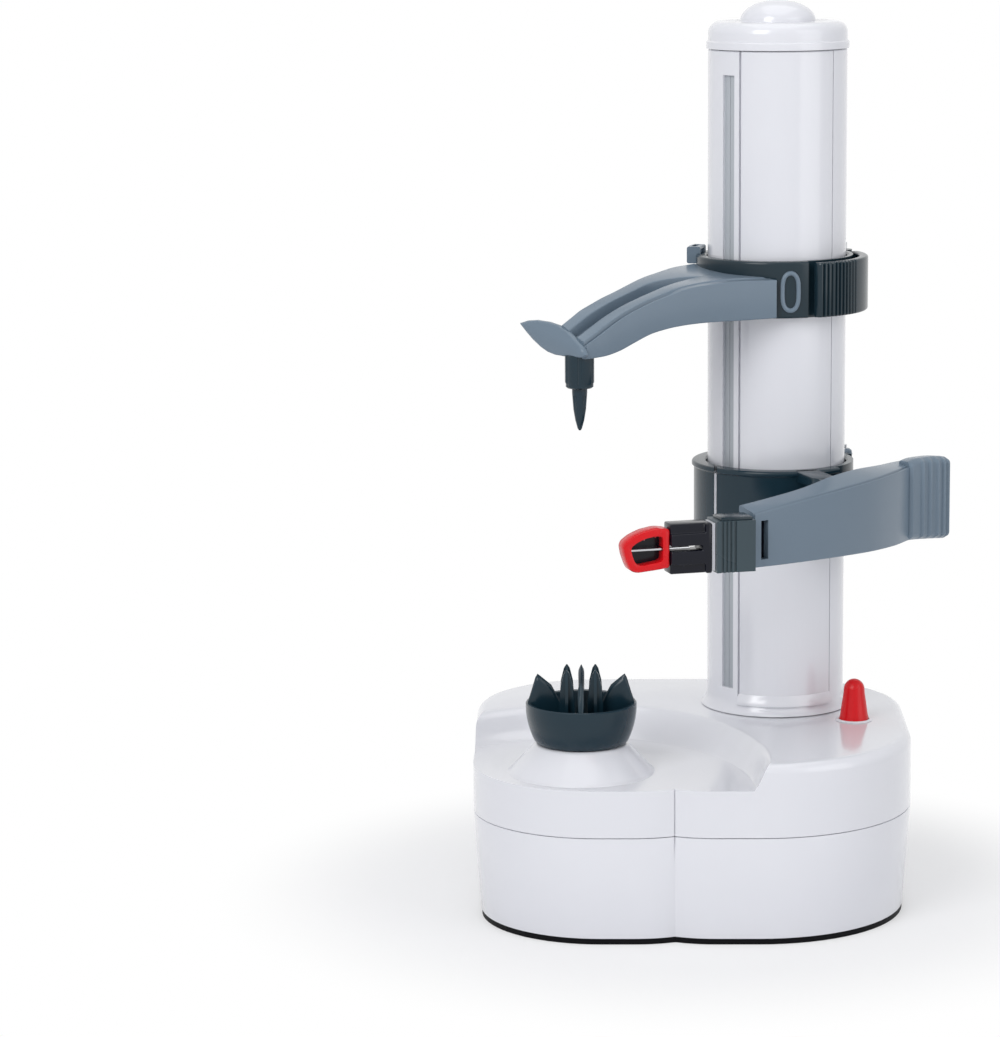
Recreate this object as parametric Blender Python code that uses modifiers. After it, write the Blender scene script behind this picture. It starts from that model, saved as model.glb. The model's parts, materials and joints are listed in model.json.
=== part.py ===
"""Electric fruit and vegetable peeler: base with turntable, tower with lead screw,
upper arm with fruit pin, and a sprung peeling lever on its own carriage.

Metres, +Z up. The origin is on the table, on the axis of the tower. The front of
the object faces -Y. A bearing is an angle from the front, positive to the right.
"""

import math

import bmesh
import bpy
from mathutils import Matrix, Vector

# Driving places
TURNTABLE_BEARING = math.radians(-46.8)
TURNTABLE_DISTANCE = 0.088
CLEARANCE = 0.0003
RUNNING_CLEARANCE = 0.0005
OVERRUN = 0.004
MERGE_LIMIT = 0.00002

# Facets
ROUND_STEPS = 32
PART_STEPS = 20
SMALL_STEPS = 10
RIB_STEPS = 6
PRONG_STEPS = 8
CORNER_STEPS = 7
DOME_STEPS = 5
EDGE_STEPS = 3
SMOOTH_ANGLE = math.radians(40)

# Base, seen from above; its left side follows from the cells, further down
BASE_RIGHT = 0.042
BASE_FRONT = -0.088
BASE_BACK = 0.038
FRONT_LEFT_RADIUS = 0.040
FRONT_RIGHT_RADIUS = 0.050
BACK_RIGHT_RADIUS = 0.040
BACK_LEFT_RADIUS = 0.040
CREASE_DEPTH = 0.0022
CREASE_X = -0.035
CREASE_STEPS = 4
BASE_DRAFT = 0.0022

# Base, heights
PLATE_THICKNESS = 0.003
PARTING_HEIGHT = 0.035
PLATFORM_HEIGHT = 0.0585
RECESS_DEPTH = 0.0085
RECESS_FLOOR = PLATFORM_HEIGHT - RECESS_DEPTH
SHELL_WALL = 0.002
STEP_WALL = 0.002
BASE_EDGE_RADIUS = 0.0022
PLATE_INSET = 0.0006
RECESS_RADIUS = 0.047
RECESS_SLOPE = 0.007
RECESS_OPENING = 0.004
BOSS_FOOT_RADIUS = 0.0215
BOSS_TOP_RADIUS = 0.0155
BOSS_HEIGHT = 0.0072

# Casing screws, driven from below into posts that hang from the top casing
LOW_SCREW_SPOTS = ((-0.0865, -0.0325), (-0.0330, -0.0775))
HIGH_SCREW_SPOTS = ((-0.020, 0.0300), (0.0335, -0.0100))
POST_RADIUS = 0.0030
SCREW_HEAD_RADIUS = 0.0024
SCREW_HEAD_HEIGHT = 0.0012
SCREW_SINK = 0.0004
SCREW_RADIUS = 0.0012
SCREW_LENGTH = 0.0120
SCREW_GROOVE_WIDTH = 0.0006
SCREW_GROOVE_DEPTH = 0.0005

# Turntable
CUP_RIM_RADIUS = 0.0176
CUP_FOOT_RADIUS = 0.0150
CUP_HEIGHT = 0.0150
CUP_WALL = 0.0020
CUP_FLOOR = 0.0045
FIN_COUNT = 4
FIN_THICKNESS = 0.0020
FIN_OUTER_RISE = 0.0090
FIN_INNER_RISE = 0.0040
FIN_INNER_RADIUS = 0.0085
PRONG_RADIUS = 0.0018
PRONG_TIP_RADIUS = 0.0006
PRONG_CIRCLE = 0.0062
PRONG_RISE = 0.0110
SHAFT_RADIUS = 0.0030
BUSH_WALL = 0.0015

# Tower
TOWER_RADIUS = 0.0225
TOWER_WALL = 0.0018
TOWER_HEIGHT = 0.2165
TOWER_TOP = PLATFORM_HEIGHT + TOWER_HEIGHT
TOWER_FLARE = 0.0022
TOWER_FLARE_HEIGHT = 0.0035
SLOT_WIDTH = 0.0050
SLOT_END_GAP = 0.0080
COVER_LEFT = math.radians(-35)
COVER_RIGHT = math.radians(49.6)
CAP_HEIGHT = 0.0086
CAP_EDGE_RADIUS = 0.0035
CAP_BAND_HEIGHT = 0.0024
CAP_BAND_PROUD = 0.0006
CAP_SPIGOT_DEPTH = 0.0050
DOME_RADIUS = 0.0122
DOME_HEIGHT = 0.0068

# Lead screw
THREAD_CREST = 0.0060
THREAD_DEPTH = 0.0012
THREAD_PITCH = 0.0075
THREAD_RINGS = 3
THREAD_START_GAP = 0.0060
THREAD_STOP_GAP = 0.0050
JOURNAL_RADIUS = 0.0030
JOURNAL_END_GAP = 0.0006

# Gears, radii come from module and teeth
TRAIN_MODULE = 0.0016
END_GEAR_TEETH = 26
IDLER_TEETH = 29
FINE_MODULE = 0.0010
WHEEL_TEETH = 50
REDUCTION_TEETH = 40
PINION_TEETH = 10
GEAR_WIDTH = 0.0055
FINE_WIDTH = 0.0042
LAYER_GAP = 0.0012
FIRST_LAYER = 0.0062
ADDENDUM_SHARE = 0.80
DEDENDUM_SHARE = 1.15
TOOTH_ROOT_SHARE = 0.54
TOOTH_TIP_SHARE = 0.20
GEAR_AXLE_RADIUS = 0.0020
MOTOR_AXLE_RADIUS = 0.0010
SECOND_STAGE_BEARING = math.radians(30)
FIRST_STAGE_BEARING = math.radians(90)
MOTOR_BEARING = math.radians(136)
GEAR_PLATE_THICKNESS = 0.0016
GEAR_PLATE_MARGIN = 0.0045

# Motor, cells and switch
MOTOR_RADIUS = 0.0120
MOTOR_LENGTH = 0.0188
MOTOR_COLLAR_RADIUS = 0.0045
CELL_RADIUS = 0.00725
CELL_LENGTH = 0.0490
CELL_NIPPLE_RADIUS = 0.0027
CELL_NIPPLE_LENGTH = 0.0014
CELL_FRONT = -0.0030
CONTACT_THICKNESS = 0.0006
CELL_GEAR_GAP = 0.0051
CELL_RIGHT = -(TRAIN_MODULE * (END_GEAR_TEETH / 2 + ADDENDUM_SHARE) + CELL_GEAR_GAP
               + CONTACT_THICKNESS + CLEARANCE)
CELL_LEFT = CELL_RIGHT - CELL_NIPPLE_LENGTH - CELL_LENGTH
CELL_ROOM = 0.0205
BASE_LEFT = CELL_LEFT - CELL_ROOM
DOOR_MARGIN = 0.0030
DOOR_THICKNESS = 0.0022
BUTTON_X = 0.0245
BUTTON_Y = -0.0270
BUTTON_RADIUS = 0.0040
BUTTON_HEIGHT = 0.0125
BUTTON_TRAVEL = 0.0025
BUTTON_STEM_RADIUS = 0.0014
BUTTON_STEM_DROP = 0.0020
BUTTON_FLANGE_RADIUS = 0.0050
BUTTON_FLANGE_THICKNESS = 0.0010
BUTTON_ROUND_SHARE = 0.85
BEZEL_RADIUS = 0.0054
BEZEL_HEIGHT = 0.0010
SWITCH_LENGTH = 0.0128
SWITCH_DEPTH = 0.0060

# Upper arm, along the line from the tower to the turntable
COLLAR_INNER_RADIUS = TOWER_RADIUS + RUNNING_CLEARANCE
COLLAR_WALL = 0.0034
UPPER_COLLAR_RISE = 0.1315
UPPER_COLLAR_BOTTOM = PLATFORM_HEIGHT + UPPER_COLLAR_RISE
UPPER_COLLAR_HEIGHT = 0.0182
UPPER_GRIP_START = math.radians(24)
REAR_TAB_START = math.radians(-120)
REAR_TAB_STOP = math.radians(-100)
REAR_TAB_RISE = 0.0034
PADDLE_OFFSET = 0.0010
PADDLE_THICKNESS = 0.0020
PIN_SLEEVE_RADIUS = 0.0046
PIN_SLEEVE_HEIGHT = 0.0102
PIN_SLEEVE_DROP = 0.0070
PIN_SLEEVE_TOP = UPPER_COLLAR_BOTTOM - PIN_SLEEVE_DROP
PIN_RADIUS = 0.0024
PIN_SHOULDER_RADIUS = 0.0019
PIN_SHOULDER_SHARE = 0.6
PIN_TIP_RADIUS = 0.0006
PIN_LENGTH = 0.0135
PIN_SHANK_RADIUS = 0.0016
NUT_REACH = 0.0030

# Release grips of both collars
GRIP_WALL = 0.0030
GRIP_TRAVEL = 0.0016
GRIP_STOP = math.radians(112)
GRIP_END_ROOM = math.radians(4)
KNUCKLE_STOP = math.radians(134)
GRIP_PIN_BEARING = math.radians(126)
GRIP_PIN_RADIUS = 0.0012
GRIP_PIN_STAND = 0.0020
GRIP_EAR_RADIUS = 0.0028
GRIP_EAR_HEIGHT = 0.0040
GRIP_RIB_RADIUS = 0.0006
GRIP_RIB_COUNT = 9
GRIP_RIB_STEP = math.radians(4.2)

# Peeling carriage and lever
CARRIAGE_GRIP_START = math.radians(50)
CARRIAGE_RISE = 0.0605
CARRIAGE_BOTTOM = PLATFORM_HEIGHT + CARRIAGE_RISE
CARRIAGE_HEIGHT = 0.0215
CARRIAGE_WALL = 0.0040
PIVOT_X = 0.0135
PIVOT_Y = -0.0375
PIVOT_PIN_RADIUS = 0.0015
PIVOT_EAR_RADIUS = 0.0040
EAR_THICKNESS = 0.0035
LEVER_WALL = 0.0022
LEVER_FLANGE = 0.0080
LEVER_TOP_RISE = 0.0012
LEVER_SLOT_WIDTH = 0.0022
LEVER_SLOT_HEIGHT = 0.0125


def bearing_point(bearing, distance):
    """Plan point at a bearing from the tower's axis."""
    return Vector((math.sin(bearing) * distance, -math.cos(bearing) * distance))


TURNTABLE = bearing_point(TURNTABLE_BEARING, TURNTABLE_DISTANCE)
ALONG = bearing_point(TURNTABLE_BEARING, 1)
ACROSS = Vector((-ALONG.y, ALONG.x))


# Scene helpers

def start_scene():
    """Empty the file and make the two collections."""
    for item in list(bpy.data.objects):
        bpy.data.objects.remove(item)
    for name in ("electric_peeler", "cutters"):
        collection = bpy.data.collections.new(name)
        bpy.context.scene.collection.children.link(collection)


def make_material(name, colour, roughness, metallic=0):
    """One Principled material with a plain colour."""
    material = bpy.data.materials.new(name)
    material.use_nodes = True
    shader = material.node_tree.nodes["Principled BSDF"]
    shader.inputs["Base Color"].default_value = (*colour, 1)
    shader.inputs["Roughness"].default_value = roughness
    shader.inputs["Metallic"].default_value = metallic
    return material


FINISHES = {
    "white": ((0.86, 0.87, 0.90), 0.25, 0),
    "slate": ((0.16, 0.22, 0.28), 0.32, 0),
    "teal": ((0.04, 0.08, 0.11), 0.30, 0),
    "black": ((0.02, 0.02, 0.025), 0.40, 0),
    "red": ((0.75, 0.03, 0.04), 0.30, 0),
    "steel": ((0.62, 0.63, 0.65), 0.25, 1),
    "brass": ((0.70, 0.52, 0.22), 0.30, 1),
    "nylon": ((0.80, 0.79, 0.72), 0.45, 0),
    "jacket": ((0.12, 0.12, 0.14), 0.35, 0),
}


def place(name, mesh, finish=None, smooth=True):
    """Link a mesh as a part, or as a cutter where it has no finish."""
    item = bpy.data.objects.new(name, mesh)
    if finish is None:
        bpy.data.collections["cutters"].objects.link(item)
        item.hide_render = True
        item.display_type = "WIRE"
        return item
    bpy.data.collections["electric_peeler"].objects.link(item)
    mesh.materials.append(make_material(name, *FINISHES[finish]))
    if smooth:
        mesh.shade_smooth()
        mesh.set_sharp_from_angle(angle=SMOOTH_ANGLE)
    return item


def boolean(target, cutter, operation="DIFFERENCE"):
    """Add an exact Boolean to a part."""
    modifier = target.modifiers.new(cutter.name, "BOOLEAN")
    modifier.operation = operation
    modifier.solver = "EXACT"
    modifier.object = cutter
    return target


def cut(target, *cutters):
    """Take cutters away from a part."""
    for cutter in cutters:
        boolean(target, cutter)
    return target


def fuse(target, *others):
    """Join others onto a part."""
    for other in others:
        boolean(target, other, "UNION")
    return target


def box(name, low, high, finish=None):
    """Upright box between two corners."""
    low = Vector(low)
    high = Vector(high)
    grid = bmesh.new()
    bmesh.ops.create_cube(grid, size=1)
    bmesh.ops.scale(grid, vec=high - low, verts=grid.verts)
    bmesh.ops.translate(grid, vec=(low + high) / 2, verts=grid.verts)
    mesh = bpy.data.meshes.new(name)
    grid.to_mesh(mesh)
    grid.free()
    return place(name, mesh, finish, smooth=False)


def cylinder(name, centre, radius, bottom, top, finish=None, steps=SMALL_STEPS, top_radius=None):
    """Upright cylinder or cone at a plan point."""
    if top_radius is None:
        top_radius = radius
    grid = bmesh.new()
    bmesh.ops.create_cone(grid, cap_ends=True, segments=steps, radius1=radius,
                          radius2=top_radius, depth=top - bottom)
    shift = Vector((centre[0], centre[1], (bottom + top) / 2))
    bmesh.ops.translate(grid, vec=shift, verts=grid.verts)
    mesh = bpy.data.meshes.new(name)
    grid.to_mesh(mesh)
    grid.free()
    return place(name, mesh, finish)


def lying_cylinder(name, start, radius, length, finish, steps=SMALL_STEPS):
    """Cylinder along +X from a point."""
    grid = bmesh.new()
    bmesh.ops.create_cone(grid, cap_ends=True, segments=steps, radius1=radius,
                          radius2=radius, depth=length)
    bmesh.ops.rotate(grid, verts=grid.verts, matrix=Matrix.Rotation(math.radians(90), 3, "Y"))
    shift = Vector(start) + Vector((length / 2, 0, 0))
    bmesh.ops.translate(grid, vec=shift, verts=grid.verts)
    mesh = bpy.data.meshes.new(name)
    grid.to_mesh(mesh)
    grid.free()
    return place(name, mesh, finish)


def turned(name, centre, profile, finish=None, steps=ROUND_STEPS, closed=True):
    """Turned piece: the profile runs down the outer side, in radius and height."""
    mesh = bpy.data.meshes.new(name)
    points = [(radius, 0, height) for radius, height in profile]
    edges = [(i, i + 1) for i in range(len(points) - 1)]
    if closed:
        edges.append((len(points) - 1, 0))
    mesh.from_pydata(points, edges, [])
    item = place(name, mesh, finish, smooth=False)
    item.location = (centre[0], centre[1], 0)
    screw = item.modifiers.new("turn", "SCREW")
    screw.steps = steps
    screw.render_steps = steps
    screw.use_merge_vertices = True
    screw.merge_threshold = MERGE_LIMIT
    screw.use_smooth_shade = True
    return item


def flat_piece(name, outline, bottom, top, finish=None):
    """Flat outline raised between two heights, as a welded mesh."""
    curve = bpy.data.curves.new(name, "CURVE")
    curve.dimensions = "2D"
    curve.fill_mode = "BOTH"
    curve.extrude = (top - bottom) / 2
    spline = curve.splines.new("POLY")
    spline.points.add(len(outline) - 1)
    for point, (x, y) in zip(spline.points, outline):
        point.co = (x, y, 0, 1)
    spline.use_cyclic_u = True
    drawn = bpy.data.objects.new(name + "_drawn", curve)
    bpy.context.scene.collection.objects.link(drawn)
    graph = bpy.context.evaluated_depsgraph_get()
    mesh = bpy.data.meshes.new_from_object(drawn.evaluated_get(graph))
    mesh.materials.clear()
    bpy.data.objects.remove(drawn)
    grid = bmesh.new()
    grid.from_mesh(mesh)
    bmesh.ops.remove_doubles(grid, verts=grid.verts, dist=MERGE_LIMIT)
    bmesh.ops.translate(grid, vec=(0, 0, (bottom + top) / 2), verts=grid.verts)
    bmesh.ops.recalc_face_normals(grid, faces=grid.faces)
    grid.to_mesh(mesh)
    grid.free()
    mesh.name = name
    return place(name, mesh, finish)


def loft(name, rings, finish=None, smooth=True):
    """Closed loft through rings of points that all have the same count."""
    grid = bmesh.new()
    rows = [[grid.verts.new(point) for point in ring] for ring in rings]
    count = len(rows[0])
    for low, high in zip(rows, rows[1:]):
        for i in range(count):
            j = (i + 1) % count
            grid.faces.new((low[i], low[j], high[j], high[i]))
    grid.faces.new(reversed(rows[0]))
    grid.faces.new(rows[-1])
    bmesh.ops.recalc_face_normals(grid, faces=grid.faces)
    mesh = bpy.data.meshes.new(name)
    grid.to_mesh(mesh)
    grid.free()
    return place(name, mesh, finish, smooth)


def arc_points(centre, radius, start, stop, steps):
    """Points on an arc, with angles from +X, counter-clockwise."""
    points = []
    for i in range(steps + 1):
        angle = start + (stop - start) * i / steps
        points.append((centre[0] + radius * math.cos(angle), centre[1] + radius * math.sin(angle)))
    return points


def sector_outline(inner, outer, start, stop, steps):
    """Plan outline of a ring sector round the tower, between two bearings."""
    first = start - math.radians(90)
    last = stop - math.radians(90)
    outside = arc_points((0, 0), outer, first, last, steps)
    inside = arc_points((0, 0), inner, last, first, steps)
    return outside + inside


def smooth_between(table, place_along):
    """Value at a place, by a smooth curve through a table of (place, value)."""
    spots = [spot for spot, _ in table]
    values = [value for _, value in table]
    if place_along <= spots[0]:
        return values[0]
    if place_along >= spots[-1]:
        return values[-1]
    k = 0
    while spots[k + 1] < place_along:
        k += 1
    width = spots[k + 1] - spots[k]
    t = (place_along - spots[k]) / width
    before = max(k - 1, 0)
    after = min(k + 2, len(spots) - 1)
    slope_in = (values[k + 1] - values[before]) / (spots[k + 1] - spots[before])
    slope_out = (values[after] - values[k]) / (spots[after] - spots[k])
    return ((2 * t**3 - 3 * t**2 + 1) * values[k] + (t**3 - 2 * t**2 + t) * width * slope_in
            + (3 * t**2 - 2 * t**3) * values[k + 1] + (t**3 - t**2) * width * slope_out)


# Base

def base_outline(inset):
    """Plan outline of the base, drawn in by an inset, counter-clockwise."""
    left = BASE_LEFT + inset
    right = BASE_RIGHT - inset
    front = BASE_FRONT + inset
    back = BASE_BACK - inset
    quarter = math.radians(90)
    front_left = FRONT_LEFT_RADIUS - inset
    front_right = FRONT_RIGHT_RADIUS - inset
    back_right = BACK_RIGHT_RADIUS - inset
    back_left = BACK_LEFT_RADIUS - inset
    points = arc_points((left + front_left, front + front_left), front_left,
                        2 * quarter, 3 * quarter, CORNER_STEPS)
    crease_y = front + CREASE_DEPTH
    start_x = left + front_left
    stop_x = right - front_right
    for i in range(1, CREASE_STEPS + 1):
        share = i / CREASE_STEPS
        points.append((start_x + (CREASE_X - start_x) * share, front + CREASE_DEPTH * share**2))
    for i in range(1, CREASE_STEPS):
        share = i / CREASE_STEPS
        points.append((CREASE_X + (stop_x - CREASE_X) * share,
                       crease_y - CREASE_DEPTH * (1 - (1 - share)**2)))
    points += arc_points((right - front_right, front + front_right), front_right,
                         3 * quarter, 4 * quarter, CORNER_STEPS)
    points += arc_points((right - back_right, back - back_right), back_right,
                         0, quarter, CORNER_STEPS)
    points += arc_points((left + back_left, back - back_left), back_left,
                         quarter, 2 * quarter, CORNER_STEPS)
    return points


def base_rings(levels):
    """Rings of the base outline for a list of (height, inset)."""
    return [[(x, y, height) for x, y in base_outline(inset)] for height, inset in levels]


def recess_ring(grow, height):
    """Plan ring of the recess round the turntable, open to the left and front."""
    radius = RECESS_RADIUS + grow
    far = BASE_LEFT - OVERRUN
    near = BASE_FRONT - OVERRUN
    ring = arc_points(TURNTABLE, radius, 0, math.radians(180), PART_STEPS)
    right = TURNTABLE.x + radius + RECESS_OPENING * (height - RECESS_FLOOR) / (
        PLATFORM_HEIGHT - RECESS_FLOOR)
    ring.append((min(far, TURNTABLE.x - radius), TURNTABLE.y))
    ring.append((min(far, TURNTABLE.x - radius), near))
    ring.append((right, near))
    return [(x, y, height) for x, y in ring]


def recess_cutter(name, grow, drop):
    """Block that cuts the recess, with its sloping wall."""
    rise = PLATFORM_HEIGHT - RECESS_FLOOR
    slope = RECESS_SLOPE * (rise + OVERRUN) / rise
    floor = RECESS_FLOOR - drop
    return loft(name, [recess_ring(grow, floor),
                       recess_ring(grow + slope, PLATFORM_HEIGHT + OVERRUN)])


def make_base_shells():
    """Upper and lower casing of the base."""
    edge = BASE_EDGE_RADIUS
    half_round = edge * (1 - math.cos(math.radians(45)))
    top = loft("base_top_shell", base_rings([
        (PARTING_HEIGHT, 0),
        (PLATFORM_HEIGHT - edge, 0),
        (PLATFORM_HEIGHT - half_round, half_round),
        (PLATFORM_HEIGHT, edge),
    ]), "white")
    hollow = loft("top_hollow", base_rings([
        (PARTING_HEIGHT - OVERRUN, SHELL_WALL),
        (PLATFORM_HEIGHT - SHELL_WALL, SHELL_WALL),
    ]))
    cut(hollow, recess_cutter("recess_underside", SHELL_WALL, SHELL_WALL))
    boss_top = RECESS_FLOOR + BOSS_HEIGHT
    boss = cylinder("turntable_boss", TURNTABLE, BOSS_FOOT_RADIUS, RECESS_FLOOR - SHELL_WALL / 2,
                    boss_top, steps=PART_STEPS, top_radius=BOSS_TOP_RADIUS)
    cut(top, recess_cutter("recess", 0, 0), hollow)
    posts = []
    bores = []
    post_foot = PLATE_THICKNESS + CLEARANCE
    for spots, ceiling in ((LOW_SCREW_SPOTS, RECESS_FLOOR), (HIGH_SCREW_SPOTS, PLATFORM_HEIGHT)):
        for spot in spots:
            number = len(posts) + 1
            posts.append(cylinder("screw_post_%d" % number, spot, POST_RADIUS, post_foot,
                                  ceiling - SHELL_WALL / 2, steps=PRONG_STEPS))
            bores.append(cylinder("post_bore_%d" % number, spot, SCREW_RADIUS + CLEARANCE,
                                  post_foot - OVERRUN, post_foot + SCREW_LENGTH,
                                  steps=PRONG_STEPS))
    fuse(top, boss, *posts)
    bush_hole = SHAFT_RADIUS + BUSH_WALL + 2 * CLEARANCE
    cut(top, *bores)
    cut(top,
        cylinder("bush_hole", TURNTABLE, bush_hole, RECESS_FLOOR - OVERRUN, boss_top + OVERRUN),
        cylinder("screw_passage", (0, 0), THREAD_CREST + RUNNING_CLEARANCE,
                 PLATFORM_HEIGHT - OVERRUN, PLATFORM_HEIGHT + OVERRUN),
        cylinder("button_hole", (BUTTON_X, BUTTON_Y), BUTTON_RADIUS + CLEARANCE,
                 PLATFORM_HEIGHT - OVERRUN, PLATFORM_HEIGHT + OVERRUN, steps=PART_STEPS))
    bottom = PLATE_THICKNESS + CLEARANCE
    wall_top = PARTING_HEIGHT - CLEARANCE
    lower = loft("base_lower_shell", base_rings([
        (bottom, BASE_DRAFT),
        (wall_top, 0),
    ]), "white")
    lower_hollow = loft("lower_hollow", base_rings([
        (bottom - OVERRUN, BASE_DRAFT + SHELL_WALL),
        (wall_top + OVERRUN, SHELL_WALL),
    ]))
    cut(lower, lower_hollow)


def gear_places():
    """Axis of each gear stage, from the turntable to the motor."""
    idler = TURNTABLE - ALONG * TRAIN_MODULE * (END_GEAR_TEETH + IDLER_TEETH) / 2
    wheel_reach = FINE_MODULE * (WHEEL_TEETH + PINION_TEETH) / 2
    reduction_reach = FINE_MODULE * (REDUCTION_TEETH + PINION_TEETH) / 2
    second = idler + bearing_point(SECOND_STAGE_BEARING, wheel_reach)
    first = second + bearing_point(FIRST_STAGE_BEARING, reduction_reach)
    motor = first + bearing_point(MOTOR_BEARING, reduction_reach)
    return {"idler": idler, "second": second, "first": first, "motor": motor}


def layer_heights():
    """Bottom and top of the four gear layers."""
    heights = [(FIRST_LAYER, FIRST_LAYER + GEAR_WIDTH)]
    for _ in range(3):
        bottom = heights[-1][1] + LAYER_GAP
        heights.append((bottom, bottom + FINE_WIDTH))
    return heights


def cell_block():
    """Lowest and highest corner of the space of the four cells."""
    floor = PLATE_THICKNESS + CLEARANCE
    length = CELL_LENGTH + CELL_NIPPLE_LENGTH
    width = 4 * CELL_RADIUS + CLEARANCE
    return (CELL_LEFT, CELL_FRONT, floor), (CELL_LEFT + length, CELL_FRONT + width, floor + width)


def door_outline(margin):
    """Corners of the cell door, seen from above."""
    low, high = cell_block()
    left = low[0] - margin
    right = high[0] + margin
    front = low[1] - margin
    back = high[1] + margin
    return left, front, right, back


def make_bottom():
    """Black bottom plate with its posts, the cell door and the plate over the gears."""
    bottom_rings = base_rings([
        (0, BASE_DRAFT + PLATE_INSET),
        (PLATE_THICKNESS, BASE_DRAFT + PLATE_INSET / 2),
    ])
    plate = loft("bottom_plate", bottom_rings, "black")
    left, front, right, back = door_outline(-DOOR_MARGIN)
    cut(plate, box("door_opening", (left, front, -OVERRUN),
                   (right, back, PLATE_THICKNESS + OVERRUN)))
    gap = CLEARANCE
    box("cell_door", (left + gap, front + gap, 0), (right - gap, back - gap, DOOR_THICKNESS),
        "black")
    places = gear_places()
    layers = layer_heights()
    post_top = layers[-1][1] + LAYER_GAP - CLEARANCE
    sink = PLATE_THICKNESS / 2
    posts = []
    for stage in ("idler", "second", "first"):
        posts.append(cylinder(stage + "_post", places[stage], GEAR_AXLE_RADIUS, sink, post_top))
    for name, spot in (("screw", (0, 0)), ("turntable", TURNTABLE)):
        posts.append(turned(name + "_step", spot, [
            (JOURNAL_RADIUS + STEP_WALL, FIRST_LAYER - CLEARANCE),
            (JOURNAL_RADIUS + STEP_WALL, sink),
            (JOURNAL_RADIUS + CLEARANCE, sink),
            (JOURNAL_RADIUS + CLEARANCE, FIRST_LAYER - CLEARANCE),
        ], steps=SMALL_STEPS))
    fuse(plate, *posts)
    cut(plate,
        cylinder("screw_step_bore", (0, 0), JOURNAL_RADIUS + CLEARANCE, sink,
                 FIRST_LAYER + OVERRUN),
        cylinder("turntable_step_bore", TURNTABLE, JOURNAL_RADIUS + CLEARANCE, sink,
                 FIRST_LAYER + OVERRUN))
    make_casing_screws(plate)


def make_casing_screws(plate):
    """Screws that hold the bottom plate, sunk in it from below."""
    head_top = SCREW_SINK + SCREW_HEAD_HEIGHT
    number = 0
    for spot in LOW_SCREW_SPOTS + HIGH_SCREW_SPOTS:
        number += 1
        name = "casing_screw_%d" % number
        cut(plate, turned(name + "_hole", spot, [
            (0, PLATE_THICKNESS + OVERRUN),
            (SCREW_RADIUS + CLEARANCE, PLATE_THICKNESS + OVERRUN),
            (SCREW_RADIUS + CLEARANCE, head_top + CLEARANCE),
            (SCREW_HEAD_RADIUS + CLEARANCE, head_top + CLEARANCE),
            (SCREW_HEAD_RADIUS + CLEARANCE, -OVERRUN),
            (0, -OVERRUN),
        ], steps=PRONG_STEPS, closed=False))
        screw = turned(name, spot, [
            (0, SCREW_LENGTH),
            (SCREW_RADIUS, SCREW_LENGTH - SCREW_RADIUS),
            (SCREW_RADIUS, head_top),
            (SCREW_HEAD_RADIUS, head_top),
            (SCREW_HEAD_RADIUS, SCREW_SINK),
            (0, SCREW_SINK),
        ], "steel", steps=PRONG_STEPS, closed=False)
        half = SCREW_GROOVE_WIDTH / 2
        depth = SCREW_SINK + SCREW_GROOVE_DEPTH
        reach = SCREW_HEAD_RADIUS + CLEARANCE
        cut(screw, box(name + "_groove", (spot[0] - reach, spot[1] - half, -CLEARANCE),
                       (spot[0] + reach, spot[1] + half, depth)))


def gear_outline(centre, teeth, module, turn):
    """Plan outline of a spur gear with one tooth centred on an angle."""
    pitch_radius = module * teeth / 2
    root = pitch_radius - DEDENDUM_SHARE * module
    tip = pitch_radius + ADDENDUM_SHARE * module
    step = 2 * math.pi / teeth
    points = []
    for i in range(teeth):
        middle = turn + i * step
        for radius, share in ((root, -TOOTH_ROOT_SHARE), (tip, -TOOTH_TIP_SHARE),
                              (tip, TOOTH_TIP_SHARE), (root, TOOTH_ROOT_SHARE)):
            angle = middle + share * step / 2
            points.append((centre[0] + radius * math.cos(angle),
                           centre[1] + radius * math.sin(angle)))
    return points


def gear(name, centre, teeth, module, layer, bore, turn, finish="nylon"):
    """Spur gear with a round bore."""
    bottom, top = layer
    wheel = flat_piece(name, gear_outline(centre, teeth, module, turn), bottom, top, finish)
    if bore:
        cut(wheel, cylinder(name + "_bore", centre, bore, bottom - OVERRUN, top + OVERRUN))
    return wheel


def angle_to(start, stop):
    """Angle from +X of the line between two plan points."""
    return math.atan2(stop[1] - start[1], stop[0] - start[0])


def make_gears():
    """Gear train from the motor to the turntable and the lead screw."""
    places = gear_places()
    layers = layer_heights()
    origin = Vector((0, 0))
    idler = places["idler"]
    second = places["second"]
    first = places["first"]
    motor = places["motor"]
    half_end = math.pi / END_GEAR_TEETH
    half_pinion = math.pi / PINION_TEETH
    loose = GEAR_AXLE_RADIUS + CLEARANCE
    keyed = JOURNAL_RADIUS + CLEARANCE
    gear("turntable_gear", TURNTABLE, END_GEAR_TEETH, TRAIN_MODULE, layers[0], keyed,
         angle_to(TURNTABLE, idler) + half_end)
    gear("idler_gear", idler, IDLER_TEETH, TRAIN_MODULE, layers[0], loose,
         angle_to(idler, TURNTABLE))
    gear("screw_gear", origin, END_GEAR_TEETH, TRAIN_MODULE, layers[0], keyed,
         angle_to(origin, idler))
    gear("idler_wheel", idler, WHEEL_TEETH, FINE_MODULE, layers[1], loose,
         angle_to(idler, second))
    gear("second_pinion", second, PINION_TEETH, FINE_MODULE, layers[1], loose,
         angle_to(second, idler) + half_pinion)
    gear("second_wheel", second, REDUCTION_TEETH, FINE_MODULE, layers[2], loose,
         angle_to(second, first))
    gear("first_pinion", first, PINION_TEETH, FINE_MODULE, layers[2], loose,
         angle_to(first, second) + half_pinion)
    gear("first_wheel", first, REDUCTION_TEETH, FINE_MODULE, layers[3], loose,
         angle_to(first, motor))
    gear("motor_pinion", motor, PINION_TEETH, FINE_MODULE, layers[3],
         MOTOR_AXLE_RADIUS + CLEARANCE, angle_to(motor, first) + half_pinion, "brass")


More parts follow.
